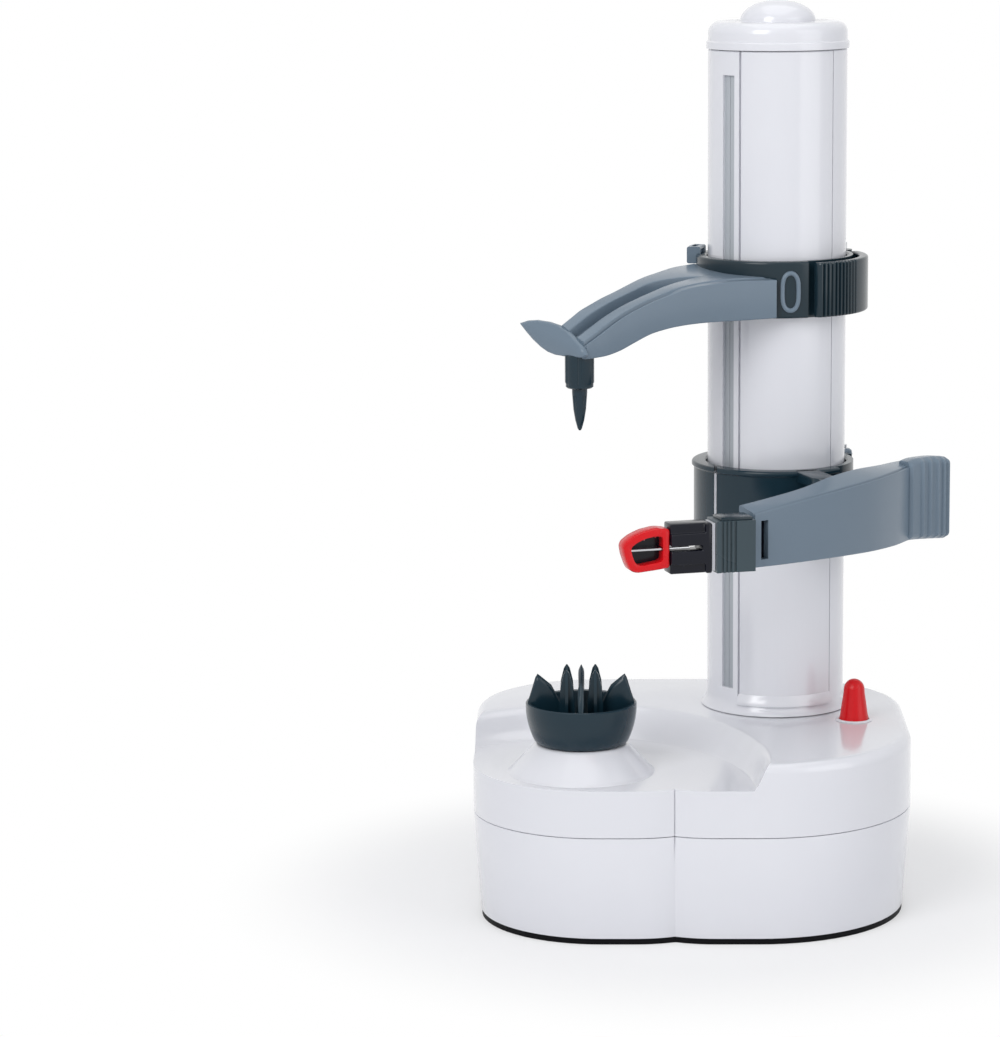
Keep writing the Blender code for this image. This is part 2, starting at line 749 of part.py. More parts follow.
def make_drive():
    """Motor, gear plate, cells and contacts."""
    places = gear_places()
    layers = layer_heights()
    motor = places["motor"]
    floor = PLATE_THICKNESS + CLEARANCE
    can_top = floor + MOTOR_LENGTH
    pinion_top = layers[3][1]
    turned("motor", motor, [
        (0, pinion_top),
        (MOTOR_AXLE_RADIUS, pinion_top),
        (MOTOR_AXLE_RADIUS, can_top + SHELL_WALL / 2),
        (MOTOR_COLLAR_RADIUS, can_top + SHELL_WALL / 2),
        (MOTOR_COLLAR_RADIUS, can_top),
        (MOTOR_RADIUS, can_top),
        (MOTOR_RADIUS, floor),
        (0, floor),
    ], "steel", steps=PART_STEPS, closed=False)
    plate_bottom = pinion_top + LAYER_GAP
    idler = places["idler"]
    second = places["second"]
    first = places["first"]
    reach = GEAR_PLATE_MARGIN
    outline = []
    for spot, radius, start, stop in ((second, reach, 180, 270), (first, reach, 270, 360),
                                      (motor, MOTOR_RADIUS, 0, 90), (idler, reach, 90, 180)):
        outline += arc_points(spot, radius, math.radians(start), math.radians(stop),
                              CORNER_STEPS)
    flat_piece("gear_plate", outline, plate_bottom, plate_bottom + GEAR_PLATE_THICKNESS, "steel")
    low, high = cell_block()
    pitch = 2 * CELL_RADIUS + CLEARANCE
    number = 0
    for row in range(2):
        for level in range(2):
            number += 1
            centre = (low[0], low[1] + CELL_RADIUS + row * pitch,
                      low[2] + CELL_RADIUS + level * pitch)
            name = "cell_%d" % number
            cell = lying_cylinder(name, centre, CELL_RADIUS, CELL_LENGTH, "jacket", PART_STEPS)
            nipple = lying_cylinder(name + "_nipple", centre, CELL_NIPPLE_RADIUS,
                                    CELL_LENGTH + CELL_NIPPLE_LENGTH, "brass")
            bpy.data.collections["electric_peeler"].objects.unlink(nipple)
            bpy.data.collections["cutters"].objects.link(nipple)
            nipple.hide_render = True
            nipple.display_type = "WIRE"
            fuse(cell, nipple)
    for name, left in (("left_contact", low[0] - CLEARANCE - CONTACT_THICKNESS),
                       ("right_contact", high[0] + CLEARANCE)):
        box(name, (left, low[1] + CELL_RADIUS, low[2]),
            (left + CONTACT_THICKNESS, high[1] - CELL_RADIUS, high[2] - CELL_RADIUS), "steel")


def make_turntable():
    """Spiked cup on its shaft, with the bush in the boss."""
    bottom = RECESS_FLOOR + BOSS_HEIGHT + CLEARANCE
    rim = bottom + CUP_HEIGHT
    floor = bottom + CUP_FLOOR
    cup = turned("turntable_cup", TURNTABLE, [
        (0, floor),
        (CUP_FOOT_RADIUS - CUP_WALL, floor),
        (CUP_RIM_RADIUS - CUP_WALL, rim),
        (CUP_RIM_RADIUS, rim),
        (CUP_FOOT_RADIUS, bottom),
        (SHAFT_RADIUS + CLEARANCE, bottom),
        (SHAFT_RADIUS + CLEARANCE, floor - CUP_WALL / 2),
        (0, floor - CUP_WALL / 2),
    ], "teal", steps=PART_STEPS, closed=False)
    sink = floor - CUP_WALL / 4
    fins = []
    outer = CUP_RIM_RADIUS - CUP_WALL / 2
    for i in range(FIN_COUNT):
        turn = math.radians(45) + 2 * math.pi * i / FIN_COUNT
        fins.append(fin("fin_%d" % i, turn, outer, sink, rim))
        spot = TURNTABLE + Vector((math.cos(turn + math.pi / FIN_COUNT),
                                   math.sin(turn + math.pi / FIN_COUNT))) * PRONG_CIRCLE
        fins.append(cylinder("prong_%d" % i, spot, PRONG_RADIUS, sink, rim + PRONG_RISE,
                             steps=PRONG_STEPS, top_radius=PRONG_TIP_RADIUS))
    fuse(cup, *fins)
    shaft_bottom = PLATE_THICKNESS / 2 + JOURNAL_END_GAP
    cylinder("turntable_shaft", TURNTABLE, SHAFT_RADIUS, shaft_bottom,
             floor - CUP_WALL / 2 - CLEARANCE, "steel")
    turned("turntable_bush", TURNTABLE, [
        (SHAFT_RADIUS + BUSH_WALL, bottom - 2 * CLEARANCE),
        (SHAFT_RADIUS + BUSH_WALL, RECESS_FLOOR - SHELL_WALL),
        (SHAFT_RADIUS + CLEARANCE, RECESS_FLOOR - SHELL_WALL),
        (SHAFT_RADIUS + CLEARANCE, bottom - 2 * CLEARANCE),
    ], "brass", steps=SMALL_STEPS)


def fin(name, turn, outer, sink, rim):
    """Upright pointed fin that runs in from the rim of the cup."""
    half = FIN_THICKNESS / 2
    side = Vector((-math.sin(turn), math.cos(turn)))
    out = Vector((math.cos(turn), math.sin(turn)))
    rings = []
    for distance, top, width in ((FIN_INNER_RADIUS, rim + FIN_INNER_RISE, half / 2),
                                 (outer, rim + FIN_OUTER_RISE, half)):
        spot = TURNTABLE + out * distance
        near = spot - side * width
        away = spot + side * width
        rings.append([(*near, sink), (*away, sink), (*away, top), (*near, top)])
    return loft(name, rings)


def make_tower():
    """Tower casing, its front cover, cap and the lead screw."""
    bottom = PLATFORM_HEIGHT + CLEARANCE
    inner = TOWER_RADIUS - TOWER_WALL
    flare = TOWER_RADIUS + TOWER_FLARE
    profile = [
        (TOWER_RADIUS, TOWER_TOP - CLEARANCE),
        (TOWER_RADIUS, bottom + TOWER_FLARE_HEIGHT),
        (flare, bottom),
        (inner, bottom),
        (inner, TOWER_TOP - CLEARANCE),
    ]
    tower = turned("tower_shell", (0, 0), profile, "white")
    cover = turned("tower_front_cover", (0, 0), profile, "white")
    seam = CLEARANCE / TOWER_RADIUS
    reach = TOWER_RADIUS + OVERRUN
    window = flat_piece("cover_window", sector_outline(inner / 2, reach, COVER_LEFT, COVER_RIGHT,
                                                       CORNER_STEPS),
                        bottom - OVERRUN, TOWER_TOP + OVERRUN)
    blank = flat_piece("cover_blank", sector_outline(inner / 2, reach, COVER_LEFT + seam,
                                                     COVER_RIGHT - seam, CORNER_STEPS),
                       bottom - OVERRUN, TOWER_TOP + OVERRUN)
    half = SLOT_WIDTH / 2
    slot_outline = []
    for along, across in ((inner / 2, -half), (reach, -half), (reach, half), (inner / 2, half)):
        slot_outline.append(tuple(ALONG * along + ACROSS * across))
    slot = flat_piece("slot", slot_outline, bottom + SLOT_END_GAP, TOWER_TOP - SLOT_END_GAP)
    cut(tower, window, slot)
    boolean(cover, blank, "INTERSECT")
    make_cap()
    make_lead_screw()


def make_cap():
    """Cap on the tower with its domed knob and the upper bearing."""
    top = TOWER_TOP + CAP_HEIGHT
    edge = CAP_EDGE_RADIUS
    band = TOWER_RADIUS + CAP_BAND_PROUD
    profile = []
    for i in range(DOME_STEPS):
        angle = math.radians(90) * (1 - i / DOME_STEPS)
        profile.append((DOME_RADIUS * math.cos(angle), top + DOME_HEIGHT * math.sin(angle)))
    profile.append((DOME_RADIUS, top))
    for i in range(EDGE_STEPS + 1):
        angle = math.radians(90) * (1 - i / EDGE_STEPS)
        profile.append((TOWER_RADIUS - edge + edge * math.cos(angle),
                        top - edge + edge * math.sin(angle)))
    profile += [
        (TOWER_RADIUS, TOWER_TOP + CAP_BAND_HEIGHT),
        (band, TOWER_TOP + CAP_BAND_HEIGHT - CAP_BAND_PROUD),
        (band, TOWER_TOP),
        (TOWER_RADIUS - TOWER_WALL - CLEARANCE, TOWER_TOP),
        (TOWER_RADIUS - TOWER_WALL - CLEARANCE, TOWER_TOP - CAP_SPIGOT_DEPTH),
        (JOURNAL_RADIUS + CLEARANCE, TOWER_TOP - CAP_SPIGOT_DEPTH),
        (JOURNAL_RADIUS + CLEARANCE, TOWER_TOP),
        (0, TOWER_TOP),
    ]
    turned("tower_cap", (0, 0), profile, "white", closed=False)


def make_lead_screw():
    """Lead screw with a helical thread between two plain journals."""
    start = PLATFORM_HEIGHT + THREAD_START_GAP
    stop = TOWER_TOP - CAP_SPIGOT_DEPTH - THREAD_STOP_GAP
    root = THREAD_CREST - THREAD_DEPTH
    count = int((stop - start) / THREAD_PITCH * THREAD_RINGS)
    rise = (stop - start) / count

    def round_ring(radius, height):
        ring = arc_points((0, 0), radius, 0, 2 * math.pi, SMALL_STEPS)[:-1]
        return [(x, y, height) for x, y in ring]

    rings = [
        round_ring(JOURNAL_RADIUS, PLATE_THICKNESS / 2 + JOURNAL_END_GAP),
        round_ring(JOURNAL_RADIUS, start - THREAD_DEPTH),
    ]
    for level in range(count + 1):
        height = start + level * rise
        ring = []
        for i in range(SMALL_STEPS):
            angle = 2 * math.pi * i / SMALL_STEPS
            turns = (height - start) / THREAD_PITCH - angle / (2 * math.pi)
            share = (1 + math.cos(2 * math.pi * turns)) / 2
            radius = root + THREAD_DEPTH * share
            ring.append((radius * math.cos(angle), radius * math.sin(angle), height))
        rings.append(ring)
    rings.append(round_ring(JOURNAL_RADIUS, stop + THREAD_DEPTH))
    rings.append(round_ring(JOURNAL_RADIUS, TOWER_TOP - JOURNAL_END_GAP))
    loft("lead_screw", rings, "steel")


def make_button():
    """Red start button with its bezel and switch."""
    spot = (BUTTON_X, BUTTON_Y)
    bezel_bottom = PLATFORM_HEIGHT + CLEARANCE
    foot = bezel_bottom + BEZEL_HEIGHT
    top = PLATFORM_HEIGHT + BUTTON_HEIGHT
    turned("button_bezel", spot, [
        (BEZEL_RADIUS, foot),
        (BEZEL_RADIUS, bezel_bottom),
        (BUTTON_RADIUS + CLEARANCE, bezel_bottom),
        (BUTTON_RADIUS + CLEARANCE, foot),
    ], "black", steps=PART_STEPS)
    profile = [(0, top)]
    round_radius = BUTTON_RADIUS * BUTTON_ROUND_SHARE
    for i in range(1, DOME_STEPS):
        angle = math.radians(90) * (1 - i / (DOME_STEPS - 1))
        profile.append((round_radius * math.cos(angle),
                        top - round_radius + round_radius * math.sin(angle)))
    flange_top = PLATFORM_HEIGHT - SHELL_WALL - CLEARANCE
    flange_bottom = flange_top - BUTTON_FLANGE_THICKNESS
    stem_bottom = flange_bottom - BUTTON_STEM_DROP
    profile += [
        (BUTTON_RADIUS, bezel_bottom),
        (BUTTON_RADIUS, flange_top),
        (BUTTON_FLANGE_RADIUS, flange_top),
        (BUTTON_FLANGE_RADIUS, flange_bottom),
        (BUTTON_STEM_RADIUS, flange_bottom),
        (BUTTON_STEM_RADIUS, stem_bottom),
        (0, stem_bottom),
    ]
    turned("start_button", spot, profile, "red", steps=PART_STEPS, closed=False)
    switch_top = stem_bottom - BUTTON_TRAVEL - CLEARANCE
    switch_bottom = layer_heights()[3][1] + LAYER_GAP + GEAR_PLATE_THICKNESS + CLEARANCE
    box("start_switch", (BUTTON_X - SWITCH_LENGTH / 2, BUTTON_Y - SWITCH_DEPTH / 2,
                         switch_bottom),
        (BUTTON_X + SWITCH_LENGTH / 2, BUTTON_Y + SWITCH_DEPTH / 2, switch_top), "black")


# Upper arm

# Places along the arm from the tower's axis, and the heights of its edges there over
# the collar's lower face
ARM_START = 0.0235
ARM_END = 0.0905
ARM_FRONT_EDGE = ((0.0235, 0.0120), (0.045, 0.0120), (0.056, 0.0113), (0.066, 0.0090),
                  (0.077, 0.0050), (0.0905, -0.0032))
ARM_BACK_EDGE = ((0.0235, 0.0175), (0.040, 0.0180), (0.050, 0.0172), (0.060, 0.0150),
                 (0.070, 0.0112), (0.080, 0.0055), (0.0905, -0.0020))
ARM_BOTTOM_EDGE = ((0.0235, 0.0005), (0.045, 0.0005), (0.055, 0.0), (0.066, -0.0020),
                   (0.077, -0.0045), (0.0905, -0.0072))
ARM_FRONT_SIDE = ((0.0235, 0.0185), (0.050, 0.0125), (0.075, 0.0078), (0.0905, 0.0060))
ARM_BACK_SIDE = ((0.0235, 0.0185), (0.050, 0.0110), (0.075, 0.0070), (0.0905, 0.0055))
ARM_CHANNEL_DEPTH = ((0.0235, 0.0), (0.042, 0.0), (0.050, 0.0022), (0.078, 0.0022),
                     (0.0905, 0.0006))
ARM_CHANNEL_SHARES = (0.28, 0.40, 0.66, 0.76)
ARM_WALL = 0.0022
ARM_HOLLOW_SHARE = 0.45
ARM_SECTIONS = 12
# Paddle outline: place across the arm, and height over the collar's lower face
PADDLE_OUTLINE = ((-0.0240, 0.0012), (-0.0170, 0.0025), (-0.0110, 0.0020), (-0.0030, 0.0),
                  (0.0055, -0.0035), (0.0075, -0.0058), (0.0040, -0.0070),
                  (-0.0040, -0.0074), (-0.0110, -0.0068), (-0.0180, -0.0035))


def arm_point(along, across, rise):
    """World point from places along and across the arm, and its height over the collar's foot."""
    spot = ALONG * along + ACROSS * across
    return (spot.x, spot.y, UPPER_COLLAR_BOTTOM + rise)


def arm_ring(along):
    """Section of the arm, with the channel in its top and the hollow underneath."""
    front = smooth_between(ARM_FRONT_SIDE, along)
    back = -smooth_between(ARM_BACK_SIDE, along)
    low = smooth_between(ARM_BOTTOM_EDGE, along)
    front_top = smooth_between(ARM_FRONT_EDGE, along)
    back_top = smooth_between(ARM_BACK_EDGE, along)
    depth = smooth_between(ARM_CHANNEL_DEPTH, along)

    def top_at(share):
        return front_top + (back_top - front_top) * share

    def side_at(share):
        return front + (back - front) * share

    near, near_floor, far_floor, far = ARM_CHANNEL_SHARES
    ceiling = low + (front_top - low) * ARM_HOLLOW_SHARE
    return [
        arm_point(along, front, low),
        arm_point(along, front, front_top),
        arm_point(along, side_at(near), top_at(near)),
        arm_point(along, side_at(near_floor), top_at(near_floor) - depth),
        arm_point(along, side_at(far_floor), top_at(far_floor) - depth),
        arm_point(along, side_at(far), top_at(far)),
        arm_point(along, back, back_top),
        arm_point(along, back, low),
        arm_point(along, back + ARM_WALL, low),
        arm_point(along, back + ARM_WALL, ceiling),
        arm_point(along, front - ARM_WALL, ceiling),
        arm_point(along, front - ARM_WALL, low),
    ]


def ring_profile(inner, outer, bottom, top):
    """Profile of a plain ring, down its outer side."""
    return [(outer, top), (outer, bottom), (inner, bottom), (inner, top)]


def grip_spot(outer):
    """Axis of the pin of the grip beside a collar."""
    return bearing_point(GRIP_PIN_BEARING, outer + CLEARANCE + GRIP_WALL / 2)


def grip_ear(name, outer, bottom, top):
    """Post on a collar that the relief parts into the two ears of a grip."""
    return cylinder(name + "_ear", grip_spot(outer), GRIP_EAR_RADIUS, bottom + CLEARANCE,
                    top - CLEARANCE, steps=PART_STEPS)


def grip_cutters(name, outer, bottom, top, start):
    """Pin hole through the ears, and the relief that lets the grip swing."""
    floor = outer - GRIP_TRAVEL
    far = outer + GRIP_WALL + OVERRUN
    hole = cylinder(name + "_hole", grip_spot(outer), GRIP_PIN_RADIUS + CLEARANCE,
                    bottom - OVERRUN, top + OVERRUN)
    relief = flat_piece(name + "_relief", sector_outline(
        floor, far, start - GRIP_END_ROOM, GRIP_STOP, PART_STEPS),
        bottom - OVERRUN, top + OVERRUN)
    knuckle_room = flat_piece(name + "_knuckle_room", sector_outline(
        floor + CLEARANCE, far + CLEARANCE, GRIP_STOP - GRIP_END_ROOM, KNUCKLE_STOP,
        CORNER_STEPS), bottom + GRIP_EAR_HEIGHT, top - GRIP_EAR_HEIGHT)
    fuse(relief, knuckle_room)
    return hole, relief


def make_grip(name, outer, bottom, top, start, finish):
    """Grip hinged at the back of a collar, ribbed at its free end, with its pin."""
    inner = outer + CLEARANCE
    face = inner + GRIP_WALL
    spot = grip_spot(outer)
    low = bottom + GRIP_EAR_HEIGHT + CLEARANCE
    high = top - GRIP_EAR_HEIGHT - CLEARANCE
    stop = GRIP_STOP - GRIP_END_ROOM
    grip = flat_piece(name, sector_outline(inner, face, start, stop, PART_STEPS),
                      bottom + CLEARANCE, top - CLEARANCE, finish)
    link = flat_piece(name + "_link", sector_outline(
        inner + CLEARANCE, face - CLEARANCE, stop - GRIP_END_ROOM, GRIP_PIN_BEARING,
        CORNER_STEPS), low, high)
    knuckle = cylinder(name + "_knuckle", spot, GRIP_EAR_RADIUS, low, high, steps=PART_STEPS)
    ribs = []
    for i in range(GRIP_RIB_COUNT):
        bearing = start + GRIP_END_ROOM + GRIP_RIB_STEP * i
        ribs.append(cylinder("%s_rib_%d" % (name, i), bearing_point(bearing, face),
                             GRIP_RIB_RADIUS, bottom + 2 * CLEARANCE, top - 2 * CLEARANCE,
                             steps=RIB_STEPS))
    fuse(grip, link, knuckle, *ribs)
    cut(grip, cylinder(name + "_bore", spot, GRIP_PIN_RADIUS + CLEARANCE, bottom, top))
    cylinder(name + "_pin", spot, GRIP_PIN_RADIUS, bottom + CLEARANCE, top + GRIP_PIN_STAND,
             "steel")


def make_upper_arm():
    """Arm with its collar, paddle and pin sleeve, its grip and the fruit pin."""
    bottom = UPPER_COLLAR_BOTTOM
    top = bottom + UPPER_COLLAR_HEIGHT
    inner = COLLAR_INNER_RADIUS
    outer = inner + COLLAR_WALL
    arm = turned("upper_arm", (0, 0), ring_profile(inner, outer, bottom, top), "slate")
    rings = []
    for i in range(ARM_SECTIONS + 1):
        along = ARM_START + (ARM_END - ARM_START) * i / ARM_SECTIONS
        rings.append(arm_ring(along))
    body = loft("arm_body", rings)
    core = cylinder("arm_core", (0, 0), inner + COLLAR_WALL / 2, bottom - OVERRUN, top + OVERRUN,
                    steps=ROUND_STEPS)
    cut(body, core)
    paddle_near = ARM_END - PADDLE_OFFSET
    paddle = loft("paddle", [
        [arm_point(paddle_near, across, height) for across, height in PADDLE_OUTLINE],
        [arm_point(paddle_near + PADDLE_THICKNESS, across, height)
         for across, height in PADDLE_OUTLINE],
    ])
    sleeve = cylinder("sleeve", TURNTABLE, PIN_SLEEVE_RADIUS, PIN_SLEEVE_TOP - PIN_SLEEVE_HEIGHT,
                      PIN_SLEEVE_TOP + OVERRUN / 2, steps=PART_STEPS)
    tab = flat_piece("rear_tab", sector_outline(inner + CLEARANCE, outer + CLEARANCE,
                                                REAR_TAB_START, REAR_TAB_STOP, EDGE_STEPS),
                     bottom + CLEARANCE, top + REAR_TAB_RISE)
    fuse(arm, grip_ear("upper_grip", outer, bottom, top), body, paddle, sleeve, tab)
    sleeve_bottom = PIN_SLEEVE_TOP - PIN_SLEEVE_HEIGHT
    cut(arm,
        cylinder("pin_bore", TURNTABLE, PIN_SHANK_RADIUS + CLEARANCE, sleeve_bottom - OVERRUN,
                 PIN_SLEEVE_TOP - OVERRUN / 2),
        *grip_cutters("upper_grip", outer, bottom, top, UPPER_GRIP_START))
    make_grip("upper_grip", outer, bottom, top, UPPER_GRIP_START, "slate")
    shank_top = PIN_SLEEVE_TOP - OVERRUN / 2 - CLEARANCE
    turned("fruit_pin", TURNTABLE, [
        (0, shank_top),
        (PIN_SHANK_RADIUS, shank_top),
        (PIN_SHANK_RADIUS, sleeve_bottom - CLEARANCE),
        (PIN_RADIUS, sleeve_bottom - CLEARANCE),
        (PIN_SHOULDER_RADIUS, sleeve_bottom - PIN_LENGTH * PIN_SHOULDER_SHARE),
        (PIN_TIP_RADIUS, sleeve_bottom - PIN_LENGTH),
        (0, sleeve_bottom - PIN_LENGTH),
    ], "teal", steps=SMALL_STEPS, closed=False)
    half_nut("upper_nut", bottom, top)


def half_nut(name, bottom, top):
    """Tongue that reaches through the slot to the lead screw."""
    near = THREAD_CREST + CLEARANCE
    far = COLLAR_INNER_RADIUS - CLEARANCE
    half = SLOT_WIDTH / 2 - RUNNING_CLEARANCE
    outline = [tuple(ALONG * along + ACROSS * across)
               for along, across in ((near, -half), (far, -half), (far, half), (near, half))]
    middle = (bottom + top) / 2
    return flat_piece(name, outline, middle - 2 * NUT_REACH, middle + 2 * NUT_REACH, "nylon")


# Peeling carriage

# Plan points of the lever's front face, from the blade head to the thumb grip,
# with the heights of its lower and upper edge over the carriage's lower face
LEVER_TABLE = (
    (-0.0100, -0.0790, -0.0012, 0.0162),
    (0.0000, -0.0715, -0.0016, 0.0175),
    (0.0110, -0.0625, -0.0022, 0.0192),
    (0.0210, -0.0525, -0.0035, 0.0194),
    (0.0300, -0.0410, -0.0048, 0.0196),
    (0.0375, -0.0280, -0.0052, 0.0210),
    (0.0430, -0.0160, -0.0050, 0.0238),
)
THUMB_TABLE = (
    (0.0412, -0.0190, -0.0050, 0.0225),
    (0.0490, -0.0100, -0.0048, 0.0252),
    (0.0540, -0.0050, -0.0044, 0.0256),
    (0.0560, 0.0000, -0.0030, 0.0250),
)
THUMB_LEAN = (-0.72, 0.69)
THUMB_DEPTH_SHARE = 0.6
THUMB_RIB_SPOTS = ((0.0450, -0.0146), (0.0470, -0.0123), (0.0490, -0.0100), (0.0510, -0.0080),
                   (0.0530, -0.0060))
THUMB_RIB_RADIUS = 0.0008
THUMB_RIB_BOTTOM = -0.0030
THUMB_RIB_TOP = 0.0225
LEVER_WEB = ((0.0130, -0.0598), (0.0230, -0.0492))
LEVER_WEB_HALF = 0.0020
SLOPE_STEP_SHARE = 0.02
LEVER_SECTIONS = 14
HEAD_START = (-0.0112, -0.0800)
HEAD_STOP = (-0.0530, -0.0925)
KNUCKLE_LENGTH = 0.0125
HOLDER_LENGTH = 0.0140
GUARD_LENGTH = 0.0175
HEAD_BOTTOM = CARRIAGE_BOTTOM
HEAD_HEIGHT = 0.0160
HEAD_TOP = HEAD_BOTTOM + HEAD_HEIGHT
KNUCKLE_THICKNESS = 0.0100
KNUCKLE_RIDGE_SHARES = (0.30, 0.46, 0.62, 0.78)
KNUCKLE_RIDGE_RADIUS = 0.0006
HOLDER_THICKNESS = 0.0080
GUARD_THICKNESS = 0.0060
GUARD_BAR = 0.0026
# Outline of the guard, as shares of its length and height
GUARD_SHARES = ((0, 0), (0, 1), (0.40, 1), (0.72, 0.92), (0.92, 0.76), (1, 0.58), (1, 0.28),
                (0.94, 0.08), (0.82, 0))
BLADE_THICKNESS = 0.0006


def table_value(table, column, share):
    """Value of one column at a share along a table of rows."""
    rows = [(i / (len(table) - 1), row[column]) for i, row in enumerate(table)]
    return smooth_between(rows, share)


def lever_ring(share):
    """Channel section of the lever at a share along it."""
    x = table_value(LEVER_TABLE, 0, share)
    y = table_value(LEVER_TABLE, 1, share)
    ahead = min(share + SLOPE_STEP_SHARE, 1)
    behind = max(share - SLOPE_STEP_SHARE, 0)
    run = Vector((table_value(LEVER_TABLE, 0, ahead) - table_value(LEVER_TABLE, 0, behind),
                  table_value(LEVER_TABLE, 1, ahead) - table_value(LEVER_TABLE, 1, behind)))
    run.normalize()
    inward = Vector((-run.y, run.x))
    low = CARRIAGE_BOTTOM + table_value(LEVER_TABLE, 2, share)
    high = CARRIAGE_BOTTOM + table_value(LEVER_TABLE, 3, share)
    wall = LEVER_WALL
    flange = LEVER_FLANGE
    front = Vector((x, y))
    inside = front + inward * wall
    back = front + inward * flange
    rise = LEVER_TOP_RISE
    return [
        (*front, low),
        (*front, high),
        (*back, high + rise),
        (*back, high + rise - wall),
        (*inside, high - wall),
        (*inside, low + wall),
        (*back, low + wall),
        (*back, low),
    ]


def head_point(distance, aside):
    """Plan point of the blade head: a distance along its line, and aside to the back."""
    line = (Vector(HEAD_STOP) - Vector(HEAD_START)).normalized()
    side = Vector((line.y, -line.x))
    return Vector(HEAD_START) + line * distance + side * aside


def head_block(name, start, length, thickness, bottom, top, finish=None):
    """Block along the line of the blade head, from a distance along it."""
    half = thickness / 2
    stop = start + length
    outline = [tuple(head_point(start, -half)), tuple(head_point(stop, -half)),
               tuple(head_point(stop, half)), tuple(head_point(start, half))]
    return flat_piece(name, outline, bottom, top, finish)


def guard_frame(name, start, length, bottom, top, thickness, finish=None):
    """Upright outline of the guard, filling a length and a height."""
    rings = []
    for aside in (-thickness / 2, thickness / 2):
        ring = []
        for along_share, rise_share in GUARD_SHARES:
            spot = head_point(start + length * along_share, aside)
            ring.append((*spot, bottom + (top - bottom) * rise_share))
        rings.append(ring)
    return loft(name, rings, finish)


def make_lever():
    """Peeling lever with its thumb grip, blade head, guard and pivot pin."""
    lever = loft("peel_lever", [lever_ring(i / LEVER_SECTIONS) for i in range(LEVER_SECTIONS + 1)],
                 "slate")
    grip_rings = []
    for x, y, rise_low, rise_high in THUMB_TABLE:
        spot = Vector((x, y))
        rear = spot + Vector(THUMB_LEAN) * LEVER_FLANGE * THUMB_DEPTH_SHARE
        low = CARRIAGE_BOTTOM + rise_low
        high = CARRIAGE_BOTTOM + rise_high
        grip_rings.append([(*spot, low), (*spot, high), (*rear, high), (*rear, low)])
    grip = loft("thumb_grip", grip_rings)
    ribs = []
    for i, spot in enumerate(THUMB_RIB_SPOTS):
        ribs.append(cylinder("thumb_rib_%d" % i, spot, THUMB_RIB_RADIUS,
                             CARRIAGE_BOTTOM + THUMB_RIB_BOTTOM, CARRIAGE_BOTTOM + THUMB_RIB_TOP,
                             steps=PRONG_STEPS))
    pivot = (PIVOT_X, PIVOT_Y)
    ear_gap = EAR_THICKNESS + CLEARANCE
    sleeve_bottom = CARRIAGE_BOTTOM + ear_gap
    sleeve_top = CARRIAGE_BOTTOM + CARRIAGE_HEIGHT - ear_gap
    sleeve = cylinder("lever_sleeve", pivot, PIVOT_EAR_RADIUS, sleeve_bottom, sleeve_top,
                      steps=PART_STEPS)
    web_outline = [(PIVOT_X - LEVER_WEB_HALF, PIVOT_Y), *LEVER_WEB,
                   (PIVOT_X + LEVER_WEB_HALF, PIVOT_Y)]
    web = flat_piece("lever_web", web_outline, sleeve_bottom, sleeve_top)
    fuse(lever, grip, sleeve, web, *ribs)
    slot_x = LEVER_TABLE[0][0] + LEVER_SLOT_WIDTH
    slot_y = LEVER_TABLE[0][1]
    middle = (HEAD_BOTTOM + HEAD_TOP) / 2
    cut(lever,
        cylinder("pivot_bore", pivot, PIVOT_PIN_RADIUS + CLEARANCE, sleeve_bottom - OVERRUN,
                 sleeve_top + OVERRUN),
        box("lever_slot", (slot_x, slot_y - OVERRUN, middle - LEVER_SLOT_HEIGHT / 2),
            (slot_x + LEVER_SLOT_WIDTH, slot_y + 2 * OVERRUN, middle + LEVER_SLOT_HEIGHT / 2)))
    cylinder("pivot_pin", pivot, PIVOT_PIN_RADIUS, CARRIAGE_BOTTOM + CLEARANCE,
             CARRIAGE_BOTTOM + CARRIAGE_HEIGHT - CLEARANCE, "steel")
    make_blade_head()


